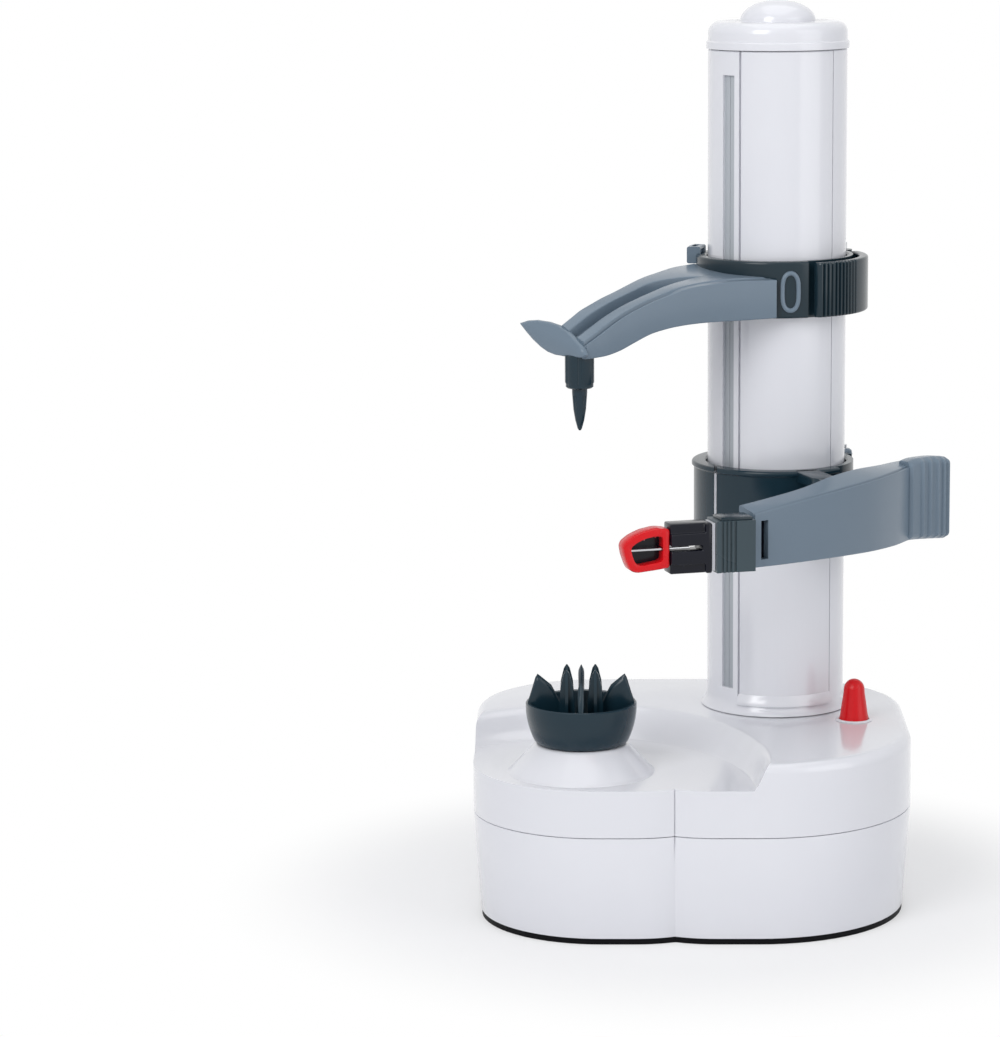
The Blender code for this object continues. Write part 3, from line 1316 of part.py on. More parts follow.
def make_blade_head():
    """Ridged knuckle, blade holder, closed guard and the blade between them."""
    knuckle = head_block("blade_knuckle", CLEARANCE, KNUCKLE_LENGTH, KNUCKLE_THICKNESS,
                         HEAD_BOTTOM, HEAD_TOP, "slate")
    ridges = []
    for i, share in enumerate(KNUCKLE_RIDGE_SHARES):
        spot = head_point(CLEARANCE + KNUCKLE_LENGTH * share, -KNUCKLE_THICKNESS / 2)
        ridges.append(cylinder("knuckle_ridge_%d" % i, spot, KNUCKLE_RIDGE_RADIUS,
                               HEAD_BOTTOM + CLEARANCE, HEAD_TOP - CLEARANCE, steps=RIB_STEPS))
    fuse(knuckle, *ridges)
    holder_start = 2 * CLEARANCE + KNUCKLE_LENGTH
    holder = head_block("blade_holder", holder_start, HOLDER_LENGTH, HOLDER_THICKNESS,
                        HEAD_BOTTOM, HEAD_TOP, "black")
    middle = (HEAD_BOTTOM + HEAD_TOP) / 2
    blade_room = BLADE_THICKNESS / 2 + CLEARANCE
    cut(holder, head_block("holder_slit", holder_start + HOLDER_LENGTH / 2, HOLDER_LENGTH,
                           HOLDER_THICKNESS + OVERRUN, middle - blade_room, middle + blade_room))
    guard_start = holder_start + HOLDER_LENGTH + CLEARANCE
    guard = guard_frame("blade_guard", guard_start, GUARD_LENGTH, HEAD_BOTTOM + CLEARANCE,
                        HEAD_TOP - CLEARANCE, GUARD_THICKNESS, "red")
    window = guard_frame("guard_window", guard_start + GUARD_BAR, GUARD_LENGTH - 2 * GUARD_BAR,
                         HEAD_BOTTOM + GUARD_BAR, HEAD_TOP - GUARD_BAR,
                         GUARD_THICKNESS + OVERRUN)
    slit = head_block("guard_slit", guard_start - OVERRUN, OVERRUN + 2 * GUARD_BAR,
                      HOLDER_THICKNESS / 2 + 2 * CLEARANCE, middle - blade_room,
                      middle + blade_room)
    cut(guard, window, slit)
    head_block("blade", holder_start + HOLDER_LENGTH / 2 + CLEARANCE,
               HOLDER_LENGTH / 2 + GUARD_LENGTH - GUARD_BAR - CLEARANCE, HOLDER_THICKNESS / 2,
               middle - BLADE_THICKNESS / 2, middle + BLADE_THICKNESS / 2, "steel")


def make_carriage():
    """Collar that rides on the tower and carries the lever on two ears, and its grip."""
    bottom = CARRIAGE_BOTTOM
    top = bottom + CARRIAGE_HEIGHT
    inner = COLLAR_INNER_RADIUS
    outer = inner + CARRIAGE_WALL
    carriage = turned("peeler_carriage", (0, 0), ring_profile(inner, outer, bottom, top), "teal")
    line = bearing_point(math.atan2(PIVOT_X, -PIVOT_Y), 1)
    side = Vector((-line.y, line.x)) * PIVOT_EAR_RADIUS
    root = line * (inner + CARRIAGE_WALL / 2)
    pivot = Vector((PIVOT_X, PIVOT_Y))
    outline = [tuple(root + side), tuple(root - side)]
    swing = math.atan2(-side.y, -side.x)
    outline += arc_points(pivot, PIVOT_EAR_RADIUS, swing, swing + math.pi, CORNER_STEPS)
    ears = []
    for name, low in (("lower_ear", bottom), ("upper_ear", top - EAR_THICKNESS)):
        ears.append(flat_piece(name, outline, low, low + EAR_THICKNESS))
    fuse(carriage, grip_ear("carriage_grip", outer, bottom, top), *ears)
    cut(carriage,
        cylinder("ear_bore", pivot, PIVOT_PIN_RADIUS + CLEARANCE, bottom - OVERRUN,
                 top + OVERRUN),
        *grip_cutters("carriage_grip", outer, bottom, top, CARRIAGE_GRIP_START))
    make_grip("carriage_grip", outer, bottom, top, CARRIAGE_GRIP_START, "teal")
    half_nut("carriage_nut", bottom, top)


def moving_groups():
    """Plan point of each joint's axis, with the pieces that move about it."""
    places = gear_places()
    upper_outer = COLLAR_INNER_RADIUS + COLLAR_WALL
    carriage_outer = COLLAR_INNER_RADIUS + CARRIAGE_WALL
    return {
        "turntable": (TURNTABLE, ("turntable_cup", "turntable_shaft", "turntable_gear")),
        "idler": (places["idler"], ("idler_gear", "idler_wheel")),
        "second_stage": (places["second"], ("second_pinion", "second_wheel")),
        "first_stage": (places["first"], ("first_pinion", "first_wheel")),
        "motor_drive": (places["motor"], ("motor_pinion",)),
        "screw": ((0, 0), ("lead_screw", "screw_gear")),
        "upper_slide": ((0, 0), ("upper_arm", "upper_nut", "upper_grip_pin")),
        "upper_release": (grip_spot(upper_outer), ("upper_grip",)),
        "pin": (TURNTABLE, ("fruit_pin",)),
        "carriage": ((0, 0), ("peeler_carriage", "carriage_nut", "pivot_pin",
                              "carriage_grip_pin")),
        "carriage_release": (grip_spot(carriage_outer), ("carriage_grip",)),
        "lever": ((PIVOT_X, PIVOT_Y), ("peel_lever", "blade_knuckle", "blade_holder",
                                       "blade_guard", "blade")),
        "button": ((BUTTON_X, BUTTON_Y), ("start_button",)),
    }


def hang_on_axes():
    """Parent each moving piece to an empty on its joint's axis."""
    for name, (spot, pieces) in moving_groups().items():
        axis = bpy.data.objects.new(name + "_axis", None)
        bpy.data.collections["electric_peeler"].objects.link(axis)
        axis.location = (spot[0], spot[1], 0)
        for piece in pieces:
            item = bpy.data.objects[piece]
            item.parent = axis
            item.matrix_parent_inverse = Matrix.Translation(-axis.location)


def main():
    """Build the whole peeler."""
    start_scene()
    make_base_shells()
    make_bottom()
    make_gears()
    make_drive()
    make_turntable()
    make_tower()
    make_button()
    make_upper_arm()
    make_carriage()
    make_lever()
    hang_on_axes()


main()
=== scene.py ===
import json
import math

import bmesh
import bpy
from mathutils import Matrix, Vector


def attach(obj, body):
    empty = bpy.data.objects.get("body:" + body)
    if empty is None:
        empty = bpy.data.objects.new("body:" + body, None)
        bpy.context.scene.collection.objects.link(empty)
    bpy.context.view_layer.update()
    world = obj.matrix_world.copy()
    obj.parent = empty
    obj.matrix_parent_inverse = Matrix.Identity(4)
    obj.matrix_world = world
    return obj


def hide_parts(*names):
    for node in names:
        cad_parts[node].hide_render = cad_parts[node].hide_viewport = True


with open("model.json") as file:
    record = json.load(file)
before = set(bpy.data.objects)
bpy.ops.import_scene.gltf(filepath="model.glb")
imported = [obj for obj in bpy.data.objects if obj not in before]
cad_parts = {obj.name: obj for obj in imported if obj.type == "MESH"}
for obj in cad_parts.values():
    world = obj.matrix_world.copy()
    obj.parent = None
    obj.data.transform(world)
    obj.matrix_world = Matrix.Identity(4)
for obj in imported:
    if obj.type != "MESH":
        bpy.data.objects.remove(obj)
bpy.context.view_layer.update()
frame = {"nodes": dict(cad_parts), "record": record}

MM = 0.001
TURN = math.radians(360)
WELD = 0.01 * MM
HAIR = 0.3 * MM

# Plan of the base and what stands on it, in metres
BASE_LEFT = -99 * MM
BASE_RIGHT = 42 * MM
BASE_FRONT = -88 * MM
BASE_BACK = 38 * MM
BASE_WIDTH = BASE_RIGHT - BASE_LEFT
BASE_DEPTH = BASE_BACK - BASE_FRONT
TOWER_SPOT = Vector((0, 0, 0))
CUP_SPOT = Vector((-64.15 * MM, -60.24 * MM, 0))
BUTTON_SPOT = Vector((24.5, -27.0, 0)) * MM

# Bearings from the tower's axis, in degrees from the front, positive to the right
ARM_BEARING = -46.8
COVER_LEFT = -34.6
COVER_RIGHT = 49.4
GRIP_STOP = 112
HINGE_BEARING = 126


# Modelling by hand, in code

def clear_hands():
    """Leave edit mode and drop every selection."""
    if bpy.context.object and bpy.context.object.mode != "OBJECT":
        bpy.ops.object.mode_set(mode="OBJECT")
    bpy.ops.object.select_all(action="DESELECT")


def take(piece):
    """Make one piece the only selected and active one."""
    clear_hands()
    piece.select_set(True)
    bpy.context.view_layer.objects.active = piece


def keep_as(name):
    """Name the active piece and put its place into its mesh."""
    piece = bpy.context.object
    piece.name = name
    piece.data.name = name
    bpy.ops.object.transform_apply(location=True, rotation=True, scale=True)
    return piece


def pick(piece, kind, chosen):
    """In edit mode, select the vertices, or the edges by both ends, that pass a test."""
    bpy.ops.mesh.select_mode(type=kind)
    bpy.ops.mesh.select_all(action="DESELECT")
    grid = bmesh.from_edit_mesh(piece.data)
    for item in grid.verts if kind == "VERT" else grid.edges:
        ends = [item] if kind == "VERT" else item.verts
        if all(chosen(end.co) for end in ends):
            item.select_set(True)
    grid.select_flush_mode()
    bmesh.update_edit_mesh(piece.data)


def apply_last(piece):
    """Apply the newest modifier of a piece."""
    take(piece)
    bpy.ops.object.modifier_apply(modifier=piece.modifiers[-1].name)


def soften(piece, width, segments=3, angle=30):
    """Round the sharp edges of a piece."""
    bevel = piece.modifiers.new("soft_edges", "BEVEL")
    bevel.width = width
    bevel.segments = segments
    bevel.limit_method = "ANGLE"
    bevel.angle_limit = math.radians(angle)
    bevel.use_clamp_overlap = True
    apply_last(piece)


def carve(piece, cutter, operation="DIFFERENCE"):
    """Cut a piece by another, or join the two, and remove the other."""
    boolean = piece.modifiers.new("carve", "BOOLEAN")
    boolean.solver = "EXACT"
    boolean.operation = operation
    boolean.object = cutter
    apply_last(piece)
    bpy.data.objects.remove(cutter)


def smooth(piece, angle):
    """Smooth shading, with sharp edges kept sharp."""
    take(piece)
    bpy.ops.object.shade_smooth_by_angle(angle=math.radians(angle))


def open_up(piece):
    """Enter edit mode on one piece, with its whole mesh selected."""
    take(piece)
    bpy.ops.object.mode_set(mode="EDIT")
    bpy.ops.mesh.select_all(action="SELECT")


def face_outwards(piece):
    """Weld doubles and point every face outwards."""
    open_up(piece)
    bpy.ops.mesh.remove_doubles(threshold=WELD)
    bpy.ops.mesh.normals_make_consistent(inside=False)
    bpy.ops.object.mode_set(mode="OBJECT")


def block(name, low, high):
    """Box between two corners in mm."""
    clear_hands()
    low = Vector(low) * MM
    high = Vector(high) * MM
    bpy.ops.mesh.primitive_cube_add(size=1, location=(low + high) / 2, scale=high - low)
    return keep_as(name)


def aimed_block(name, bearing, near, far, half, low, high):
    """Box that lies along a bearing from the tower's axis, in mm."""
    piece = block(name, (-half, -far, low), (half, -near, high))
    piece.rotation_euler = (0, 0, math.radians(bearing))
    take(piece)
    bpy.ops.object.transform_apply(location=True, rotation=True, scale=True)
    return piece


def rod(name, spot, radius, low, high, steps=48):
    """Upright round bar, radius and heights in mm."""
    clear_hands()
    bpy.ops.mesh.primitive_cylinder_add(
        vertices=steps, radius=radius * MM, depth=(high - low) * MM,
        location=(spot[0], spot[1], (low + high) / 2 * MM))
    return keep_as(name)


def spun(name, profile, spot=TOWER_SPOT, steps=96):
    """Turned piece: draw a profile of (radius, height) in mm point by point, then spin it."""
    clear_hands()
    bpy.ops.mesh.primitive_plane_add(size=MM)
    piece = keep_as(name)
    bpy.ops.object.mode_set(mode="EDIT")
    bpy.ops.mesh.select_mode(type="VERT")
    bpy.ops.mesh.select_all(action="SELECT")
    bpy.ops.mesh.merge(type="CENTER")
    radius, height = profile[0]
    bpy.ops.transform.translate(value=(radius * MM, 0, height * MM))
    for (r0, h0), (r1, h1) in zip(profile, profile[1:]):
        step = ((r1 - r0) * MM, 0, (h1 - h0) * MM)
        bpy.ops.mesh.extrude_region_move(TRANSFORM_OT_translate={"value": step})
    bpy.ops.mesh.select_all(action="SELECT")
    bpy.ops.mesh.spin(steps=steps, angle=TURN, center=(0, 0, 0), axis=(0, 0, 1))
    bpy.ops.mesh.select_all(action="SELECT")
    bpy.ops.mesh.remove_doubles(threshold=WELD)
    bpy.ops.mesh.normals_make_consistent(inside=False)
    bpy.ops.mesh.select_all(action="SELECT")
    bpy.ops.transform.translate(value=spot)
    bpy.ops.object.mode_set(mode="OBJECT")
    return piece


def wrapped(name, rings):
    """Closed skin over rings of points in mm: a grid drawn onto them, welded and capped."""
    clear_hands()
    count = len(rings[0])
    rows = len(rings) - 1
    bpy.ops.mesh.primitive_grid_add(x_subdivisions=count, y_subdivisions=rows, size=1)
    piece = keep_as(name)
    for point in piece.data.vertices:
        i = round((point.co.x + 0.5) * count)
        j = round((point.co.y + 0.5) * rows)
        point.co = Vector(rings[j][i % count]) * MM
    open_up(piece)
    bpy.ops.mesh.remove_doubles(threshold=WELD)
    bpy.ops.mesh.select_all(action="SELECT")
    bpy.ops.mesh.fill_holes(sides=0)
    bpy.ops.mesh.select_all(action="SELECT")
    bpy.ops.mesh.normals_make_consistent(inside=False)
    bpy.ops.object.mode_set(mode="OBJECT")
    return piece


def plan_piece(name, outline, low, high):
    """Flat outline in mm, filled and extruded upwards."""
    clear_hands()
    bpy.ops.mesh.primitive_circle_add(vertices=len(outline), radius=MM, fill_type="NGON")
    piece = keep_as(name)
    for point, (x, y) in zip(piece.data.vertices, outline):
        point.co = (x * MM, y * MM, low * MM)
    open_up(piece)
    rise = (0, 0, (high - low) * MM)
    bpy.ops.mesh.extrude_region_move(TRANSFORM_OT_translate={"value": rise})
    face_outwards(piece)
    return piece


# Points and sections

def facing(angle):
    """Unit plan vector at an angle in radians."""
    return Vector((math.cos(angle), math.sin(angle), 0))


def bearing_spot(bearing, distance):
    """Plan point at a bearing in degrees and a distance from the tower's axis."""
    angle = math.radians(bearing)
    return math.sin(angle) * distance, -math.cos(angle) * distance


def rounded(corners, radii, steps=3):
    """Closed polygon with its corners rounded, each by its own radius."""
    points = []
    count = len(corners)
    for i, corner in enumerate(corners):
        here = Vector(corner)
        before = Vector(corners[i - 1]) - here
        after = Vector(corners[(i + 1) % count]) - here
        reach = min(radii[i], before.length * 0.45, after.length * 0.45)
        first = here + before.normalized() * reach
        last = here + after.normalized() * reach
        for k in range(steps + 1):
            share = k / steps
            points.append(tuple(first * (1 - share)**2 + here * 2 * share * (1 - share)
                                + last * share**2))
    return points


def square_section(inner, outer, low, high):
    """Section of (radius, height) with sharp corners."""
    return (inner, low), (outer, low), (outer, high), (inner, high)


def box_section(inner, outer, low, high, radius=0.4):
    """Section of (radius, height) with rounded corners."""
    return rounded(square_section(inner, outer, low, high), (radius,) * 4)


def ring_at(bearing, section):
    """Section of (radius, height) stood up at a bearing from the tower's axis."""
    return [(*bearing_spot(bearing, radius), height) for radius, height in section]


def ring_sector(name, section, start, stop, steps):
    """Section of (radius, height) carried round the tower between two bearings."""
    return wrapped(name, [ring_at(start + (stop - start) * i / steps, section)
                          for i in range(steps + 1)])


def curve_of(centre, radii, start, stop, steps):
    """Part of an ellipse as profile points, angles in degrees from outwards to up."""
    angles = [math.radians(start + (stop - start) * i / steps) for i in range(steps + 1)]
    return [(centre[0] + radii[0] * math.cos(angle), centre[1] + radii[1] * math.sin(angle))
            for angle in angles]


def along_table(table, column, share):
    """Value of a column at a share along a table of rows, by a smooth curve."""
    last = len(table) - 1
    place = min(max(share, 0), 1) * last
    k = min(int(place), last - 1)
    t = place - k
    before = table[max(k - 1, 0)][column]
    here = table[k][column]
    ahead = table[k + 1][column]
    beyond = table[min(k + 2, last)][column]
    slope_in = (ahead - before) / 2
    slope_out = (beyond - here) / 2
    return ((2 * t**3 - 3 * t**2 + 1) * here + (t**3 - 2 * t**2 + t) * slope_in
            + (3 * t**2 - 2 * t**3) * ahead + (t**3 - t**2) * slope_out)


# Finishes

def wire_all(tree, *links):
    """Link nodes, each by its start, that one's socket, its end and that one's."""
    for start, start_socket, end, end_socket in links:
        tree.links.new(start.outputs[start_socket], end.inputs[end_socket])


def set_inputs(node, values):
    """Set sockets of a node by name or number."""
    for socket, value in values.items():
        node.inputs[socket].default_value = value


def moulded_skin_group():
    """Moulded plastic: faint colour drift, fine peel, and a few dull handling scuffs."""
    group = bpy.data.node_groups.new("moulded_skin", "ShaderNodeTree")
    for label, kind, value in (
            ("Colour", "NodeSocketColor", (0.8, 0.8, 0.8, 1)),
            ("Drift Colour", "NodeSocketColor", (0.7, 0.7, 0.7, 1)),
            ("Drift Size", "NodeSocketFloat", 30),
            ("Gloss", "NodeSocketFloat", 0.25),
            ("Gloss Spread", "NodeSocketFloat", 0.06),
            ("Scuff", "NodeSocketFloat", 0.012),
            ("Scuff Size", "NodeSocketFloat", 160),
            ("Peel Size", "NodeSocketFloat", 900)):
        socket = group.interface.new_socket(name=label, in_out="INPUT", socket_type=kind)
        socket.default_value = value
    for label, kind in (("Colour", "NodeSocketColor"), ("Roughness", "NodeSocketFloat"),
                        ("Height", "NodeSocketFloat")):
        group.interface.new_socket(name=label, in_out="OUTPUT", socket_type=kind)
    nodes = group.nodes
    source = nodes.new("NodeGroupInput")
    sink = nodes.new("NodeGroupOutput")
    place = nodes.new("ShaderNodeTexCoord")
    drift, peel, rub = (nodes.new("ShaderNodeTexNoise") for _ in range(3))
    for texture, detail in ((drift, 3), (peel, 2), (rub, 6)):
        set_inputs(texture, {"Detail": detail})
        wire_all(group, (place, "Object", texture, "Vector"))
    set_inputs(rub, {"Roughness": 0.7})
    mask = nodes.new("ShaderNodeMapRange")
    set_inputs(mask, {"From Min": 0.55, "From Max": 0.75})
    blend = nodes.new("ShaderNodeMix")
    blend.data_type = "RGBA"
    spread, dull = (nodes.new("ShaderNodeMath") for _ in range(2))
    spread.operation = "MULTIPLY_ADD"
    dull.operation = "MULTIPLY_ADD"
    wire_all(group, (source, "Drift Size", drift, "Scale"), (source, "Peel Size", peel, "Scale"),
             (source, "Scuff Size", rub, "Scale"), (drift, "Fac", blend, "Factor"),
             (source, "Colour", blend, "A"), (source, "Drift Colour", blend, "B"),
             (drift, "Fac", spread, 0), (source, "Gloss Spread", spread, 1),
             (source, "Gloss", spread, 2), (rub, "Fac", mask, "Value"),
             (mask, "Result", dull, 0), (source, "Scuff", dull, 1), (spread, 0, dull, 2),
             (dull, 0, sink, "Roughness"), (peel, "Fac", sink, "Height"))
    blend_out = [socket for socket in blend.outputs if socket.type == "RGBA"][0]
    group.links.new(blend_out, sink.inputs["Colour"])
    return group


MOULDED = moulded_skin_group()


def moulded(name, colour, drift, gloss, peel=0.02, peel_size=900, coat=0.0, shine=0.5):
    """Material of moulded plastic."""
    material = bpy.data.materials.new(name)
    material.use_nodes = True
    tree = material.node_tree
    shader = tree.nodes["Principled BSDF"]
    skin = tree.nodes.new("ShaderNodeGroup")
    skin.node_tree = MOULDED
    set_inputs(skin, {"Colour": (*colour, 1), "Drift Colour": (*drift, 1), "Gloss": gloss,
                      "Peel Size": peel_size})
    bump = tree.nodes.new("ShaderNodeBump")
    set_inputs(bump, {"Strength": peel, "Distance": HAIR})
    wire_all(tree, (skin, "Colour", shader, "Base Color"),
             (skin, "Roughness", shader, "Roughness"), (skin, "Height", bump, "Height"),
             (bump, "Normal", shader, "Normal"))
    set_inputs(shader, {"Specular IOR Level": shine, "Coat Weight": coat,
                        "Coat Roughness": gloss / 2})
    return material


def metal(name, colour, drift, gloss):
    """Material of plain drawn metal."""
    material = moulded(name, colour, drift, gloss, peel=0.05, peel_size=1500)
    set_inputs(material.node_tree.nodes["Principled BSDF"], {"Metallic": 1})
    return material


WHITE = moulded("white_casing", (0.80, 0.805, 0.84), (0.765, 0.77, 0.815), 0.16, coat=0.4)
# Grey of the slot's lips: painted shade of the slot's walls on the white tower.
SLOT_SHADE_GREY = moulded("slot_lips_painted_shade", (0.46, 0.49, 0.52), (0.42, 0.45, 0.48), 0.3)
SLATE = moulded("slate_arms", (0.172, 0.228, 0.285), (0.154, 0.207, 0.262), 0.22, peel=0.008,
                shine=0.3)
SLATE_DARK = moulded("slate_collar", (0.012, 0.030, 0.042), (0.009, 0.023, 0.033), 0.17,
                     shine=0.34)
SLATE_GREY = moulded("slate_knuckle", (0.052, 0.078, 0.092), (0.042, 0.064, 0.077), 0.24,
                     shine=0.3)
NIGHT = moulded("night_holder", (0.002, 0.003, 0.009), (0.004, 0.005, 0.012), 0.14, shine=0.28)
TEAL = moulded("dark_cup", (0.009, 0.030, 0.045), (0.007, 0.023, 0.036), 0.2, shine=0.34)
BLACK = moulded("black_foot", (0.002, 0.002, 0.003), (0.004, 0.004, 0.005), 0.5, peel=0.1,
                shine=0.1)
RED = moulded("red_guard", (0.72, 0.004, 0.009), (0.64, 0.003, 0.008), 0.24, shine=0.3)
STEEL = metal("bright_steel", (0.62, 0.63, 0.65), (0.52, 0.53, 0.56), 0.22)
BRASS = metal("plain_brass", (0.72, 0.53, 0.24), (0.62, 0.44, 0.18), 0.26)
NYLON = moulded("cream_nylon", (0.74, 0.72, 0.64), (0.68, 0.66, 0.57), 0.42)
JACKET = moulded("cell_jacket", (0.06, 0.06, 0.08), (0.1, 0.1, 0.12), 0.30)

SLOT_FINISH = {
    "white_shell": WHITE, "slate_arm": SLATE, "teal_cup": TEAL, "black_plate": BLACK,
    "red_plastic": RED, "steel": STEEL, "brass": BRASS, "nylon": NYLON, "cell_jacket": JACKET,
}


def dress_nodes():
    """Give each carried-over node the finish of its material slot."""
    slots = {row["node"]: row["material_slot"] for row in frame["record"]["subparts"]}
    for name, node in frame["nodes"].items():
        finish = SLOT_FINISH[slots[name]]
        for slot in node.material_slots:
            slot.material = finish


def finish_piece(piece, finish, slot, body, *stands_for, angle=35):
    """Shade, paint and hang a new piece on its body."""
    smooth(piece, angle)
    piece.data.materials.clear()
    piece.data.materials.append(finish)
    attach(piece, body)
    if stands_for:
        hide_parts(*stands_for)


# Base casing

CREASE_X = -35 * MM
CREASE_DEPTH = 2.6 * MM
CREASE_REACH = 13 * MM
ROUND = 40 * MM
WIDE_ROUND = 50 * MM
CORNERS = ((BASE_LEFT, BASE_FRONT, ROUND), (BASE_RIGHT, BASE_FRONT, WIDE_ROUND),
           (BASE_RIGHT, BASE_BACK, ROUND), (BASE_LEFT, BASE_BACK, ROUND))
PLATFORM = 58.5


def on_front(co):
    """Whether a point of the base's plan lies on its straight front edge."""
    return co.y < BASE_FRONT + WELD


def draw_in(inset, middle):
    """Scale what is selected until each side of the base has moved in, in mm."""
    share_x = (BASE_WIDTH - 2 * inset * MM) / BASE_WIDTH
    share_y = (BASE_DEPTH - 2 * inset * MM) / BASE_DEPTH
    bpy.ops.transform.resize(value=(share_x, share_y, 1), center_override=middle)


def base_blank(name, low, high, foot_inset=0, wall=0):
    """Solid of the base's plan, its corners bevelled round and its front creased."""
    clear_hands()
    middle = ((BASE_LEFT + BASE_RIGHT) / 2, (BASE_FRONT + BASE_BACK) / 2, low * MM)
    bpy.ops.mesh.primitive_plane_add(size=1, location=middle)
    bpy.ops.transform.resize(value=(BASE_WIDTH, BASE_DEPTH, 1))
    piece = keep_as(name)
    bpy.ops.object.mode_set(mode="EDIT")
    for x, y, radius in CORNERS:
        spot = Vector((x, y, low * MM))
        pick(piece, "VERT", lambda co, spot=spot: (co - spot).length < MM)
        bpy.ops.mesh.bevel(offset=radius, segments=18, affect="VERTICES")
    pick(piece, "EDGE", on_front)
    bpy.ops.mesh.subdivide(number_cuts=1)
    middle_x = (BASE_LEFT + ROUND + BASE_RIGHT - WIDE_ROUND) / 2
    pick(piece, "VERT", lambda co: on_front(co) and abs(co.x - middle_x) < MM)
    bpy.ops.transform.translate(value=(CREASE_X - middle_x, 0, 0))
    pick(piece, "EDGE", on_front)
    bpy.ops.mesh.subdivide(number_cuts=9)
    pick(piece, "VERT", lambda co: on_front(co) and abs(co.x - CREASE_X) < WELD)
    bpy.ops.transform.translate(
        value=(0, CREASE_DEPTH, 0), use_proportional_edit=True,
        proportional_edit_falloff="SHARP", proportional_size=CREASE_REACH)
    bpy.ops.mesh.select_all(action="SELECT")
    if wall:
        draw_in(wall, middle)
    rise = (0, 0, (high - low) * MM)
    bpy.ops.mesh.extrude_region_move(TRANSFORM_OT_translate={"value": rise})
    if foot_inset:
        pick(piece, "VERT", lambda co: co.z < low * MM + WELD)
        draw_in(foot_inset, middle)
    face_outwards(piece)
    return piece


def crease_groove(name, low, high):
    """Cutter for the fine upright line in the front's crease."""
    return block(name, (-35.2, -90, low), (-34.8, -84.9, high))


def make_base_lower():
    """Lower casing, drawn in towards the foot, and the black rim under it."""
    shell = base_blank("lower_casing", 1.9, 34.7, foot_inset=2.2)
    carve(shell, base_blank("lower_room", 0, 38, foot_inset=4.2, wall=2))
    carve(shell, crease_groove("lower_crease", 0, 40))
    soften(shell, 0.35 * MM, 2, 50)
    finish_piece(shell, WHITE, "white_shell", "base", "base_lower_shell")
    rim = base_blank("foot_rim", 0.05, 1.8, wall=2.4)
    carve(rim, base_blank("rim_room", -1, 5, wall=4.6))
    finish_piece(rim, BLACK, "black_plate", "base")


def make_base_top():
    """Upper casing with its raised platform and the recess round the turntable."""
    shell = base_blank("upper_casing", 35, PLATFORM)
    bpy.ops.object.mode_set(mode="EDIT")
    pick(shell, "EDGE", lambda co: co.z > (PLATFORM - 0.1) * MM)
    bpy.ops.mesh.bevel(offset=3.4 * MM, segments=7, affect="EDGES")
    bpy.ops.object.mode_set(mode="OBJECT")
    carve(shell, wrapped("recess", [recess_ring(*level) for level in RECESS_WALL]))
    carve(shell, spun("boss", BOSS_PROFILE, CUP_SPOT), "UNION")
    carve(shell, rod("bush_seat", CUP_SPOT, 5.1, 48, 60))
    carve(shell, crease_groove("upper_crease", 30, 56))
    finish_piece(shell, WHITE, "white_shell", "base", "base_top_shell", angle=30)


# Share of the way from the recess' floor line to the platform's edge, and height
RECESS_WALL = ((0.0, 50.0), (0.04, 50.15), (0.12, 50.7), (0.24, 51.5), (0.38, 52.7),
               (0.56, 54.7), (0.70, 56.3), (0.84, 57.6), (0.93, 58.15), (1.0, 58.4),
               (1.06, 58.5), (1.08, 60.0), (1.08, 64.0))
# Angle about the turntable, distance of the floor line, distance of the platform's edge
RECESS_EDGES = ((-29, 61.2, 66.2), (-26.6, 60.2, 65.3), (-17.7, 56.6, 62.3), (-10.6, 54.0, 60.0),
                (2.6, 50.0, 56.4), (14.3, 47.8, 54.6), (25.8, 46.2, 54.0), (51, 45.0, 55.7),
                (67, 45.0, 57.0), (180, 45.0, 57.0))
BOSS_PROFILE = ((0, 59.2), (14.1, 59.2), (14.8, 59.0), (15.3, 58.5), (22.3, 50.9), (22.8, 50.35),
                (23.4, 50.02), (23.4, 49.0), (0, 49.0))


def recess_distance(angle, share):
    """Distance of the recess' wall from the turntable's axis at an angle."""
    for row, after in zip(RECESS_EDGES, RECESS_EDGES[1:]):
        if angle <= after[0]:
            break
    part = (angle - row[0]) / (after[0] - row[0])
    floor_line, edge = (row[k] + (after[k] - row[k]) * part for k in (1, 2))
    return floor_line + (edge - floor_line) * share


def recess_ring(share, height):
    """Ring of the recess: curved behind the turntable, open to left and front."""
    centre_x, centre_y = CUP_SPOT.x / MM, CUP_SPOT.y / MM
    start, stop = RECESS_EDGES[0][0], RECESS_EDGES[-1][0]
    ring = []
    for i in range(97):
        degrees = start + (stop - start) * i / 96
        distance = recess_distance(degrees, share)
        angle = math.radians(degrees)
        ring.append((centre_x + distance * math.cos(angle),
                     centre_y + distance * math.sin(angle)))
    front_x = ring[0][0]
    ring += [(-125, centre_y), (-125, -110), (front_x, -110)]
    return [(x, y, height) for x, y in ring]


# Tower

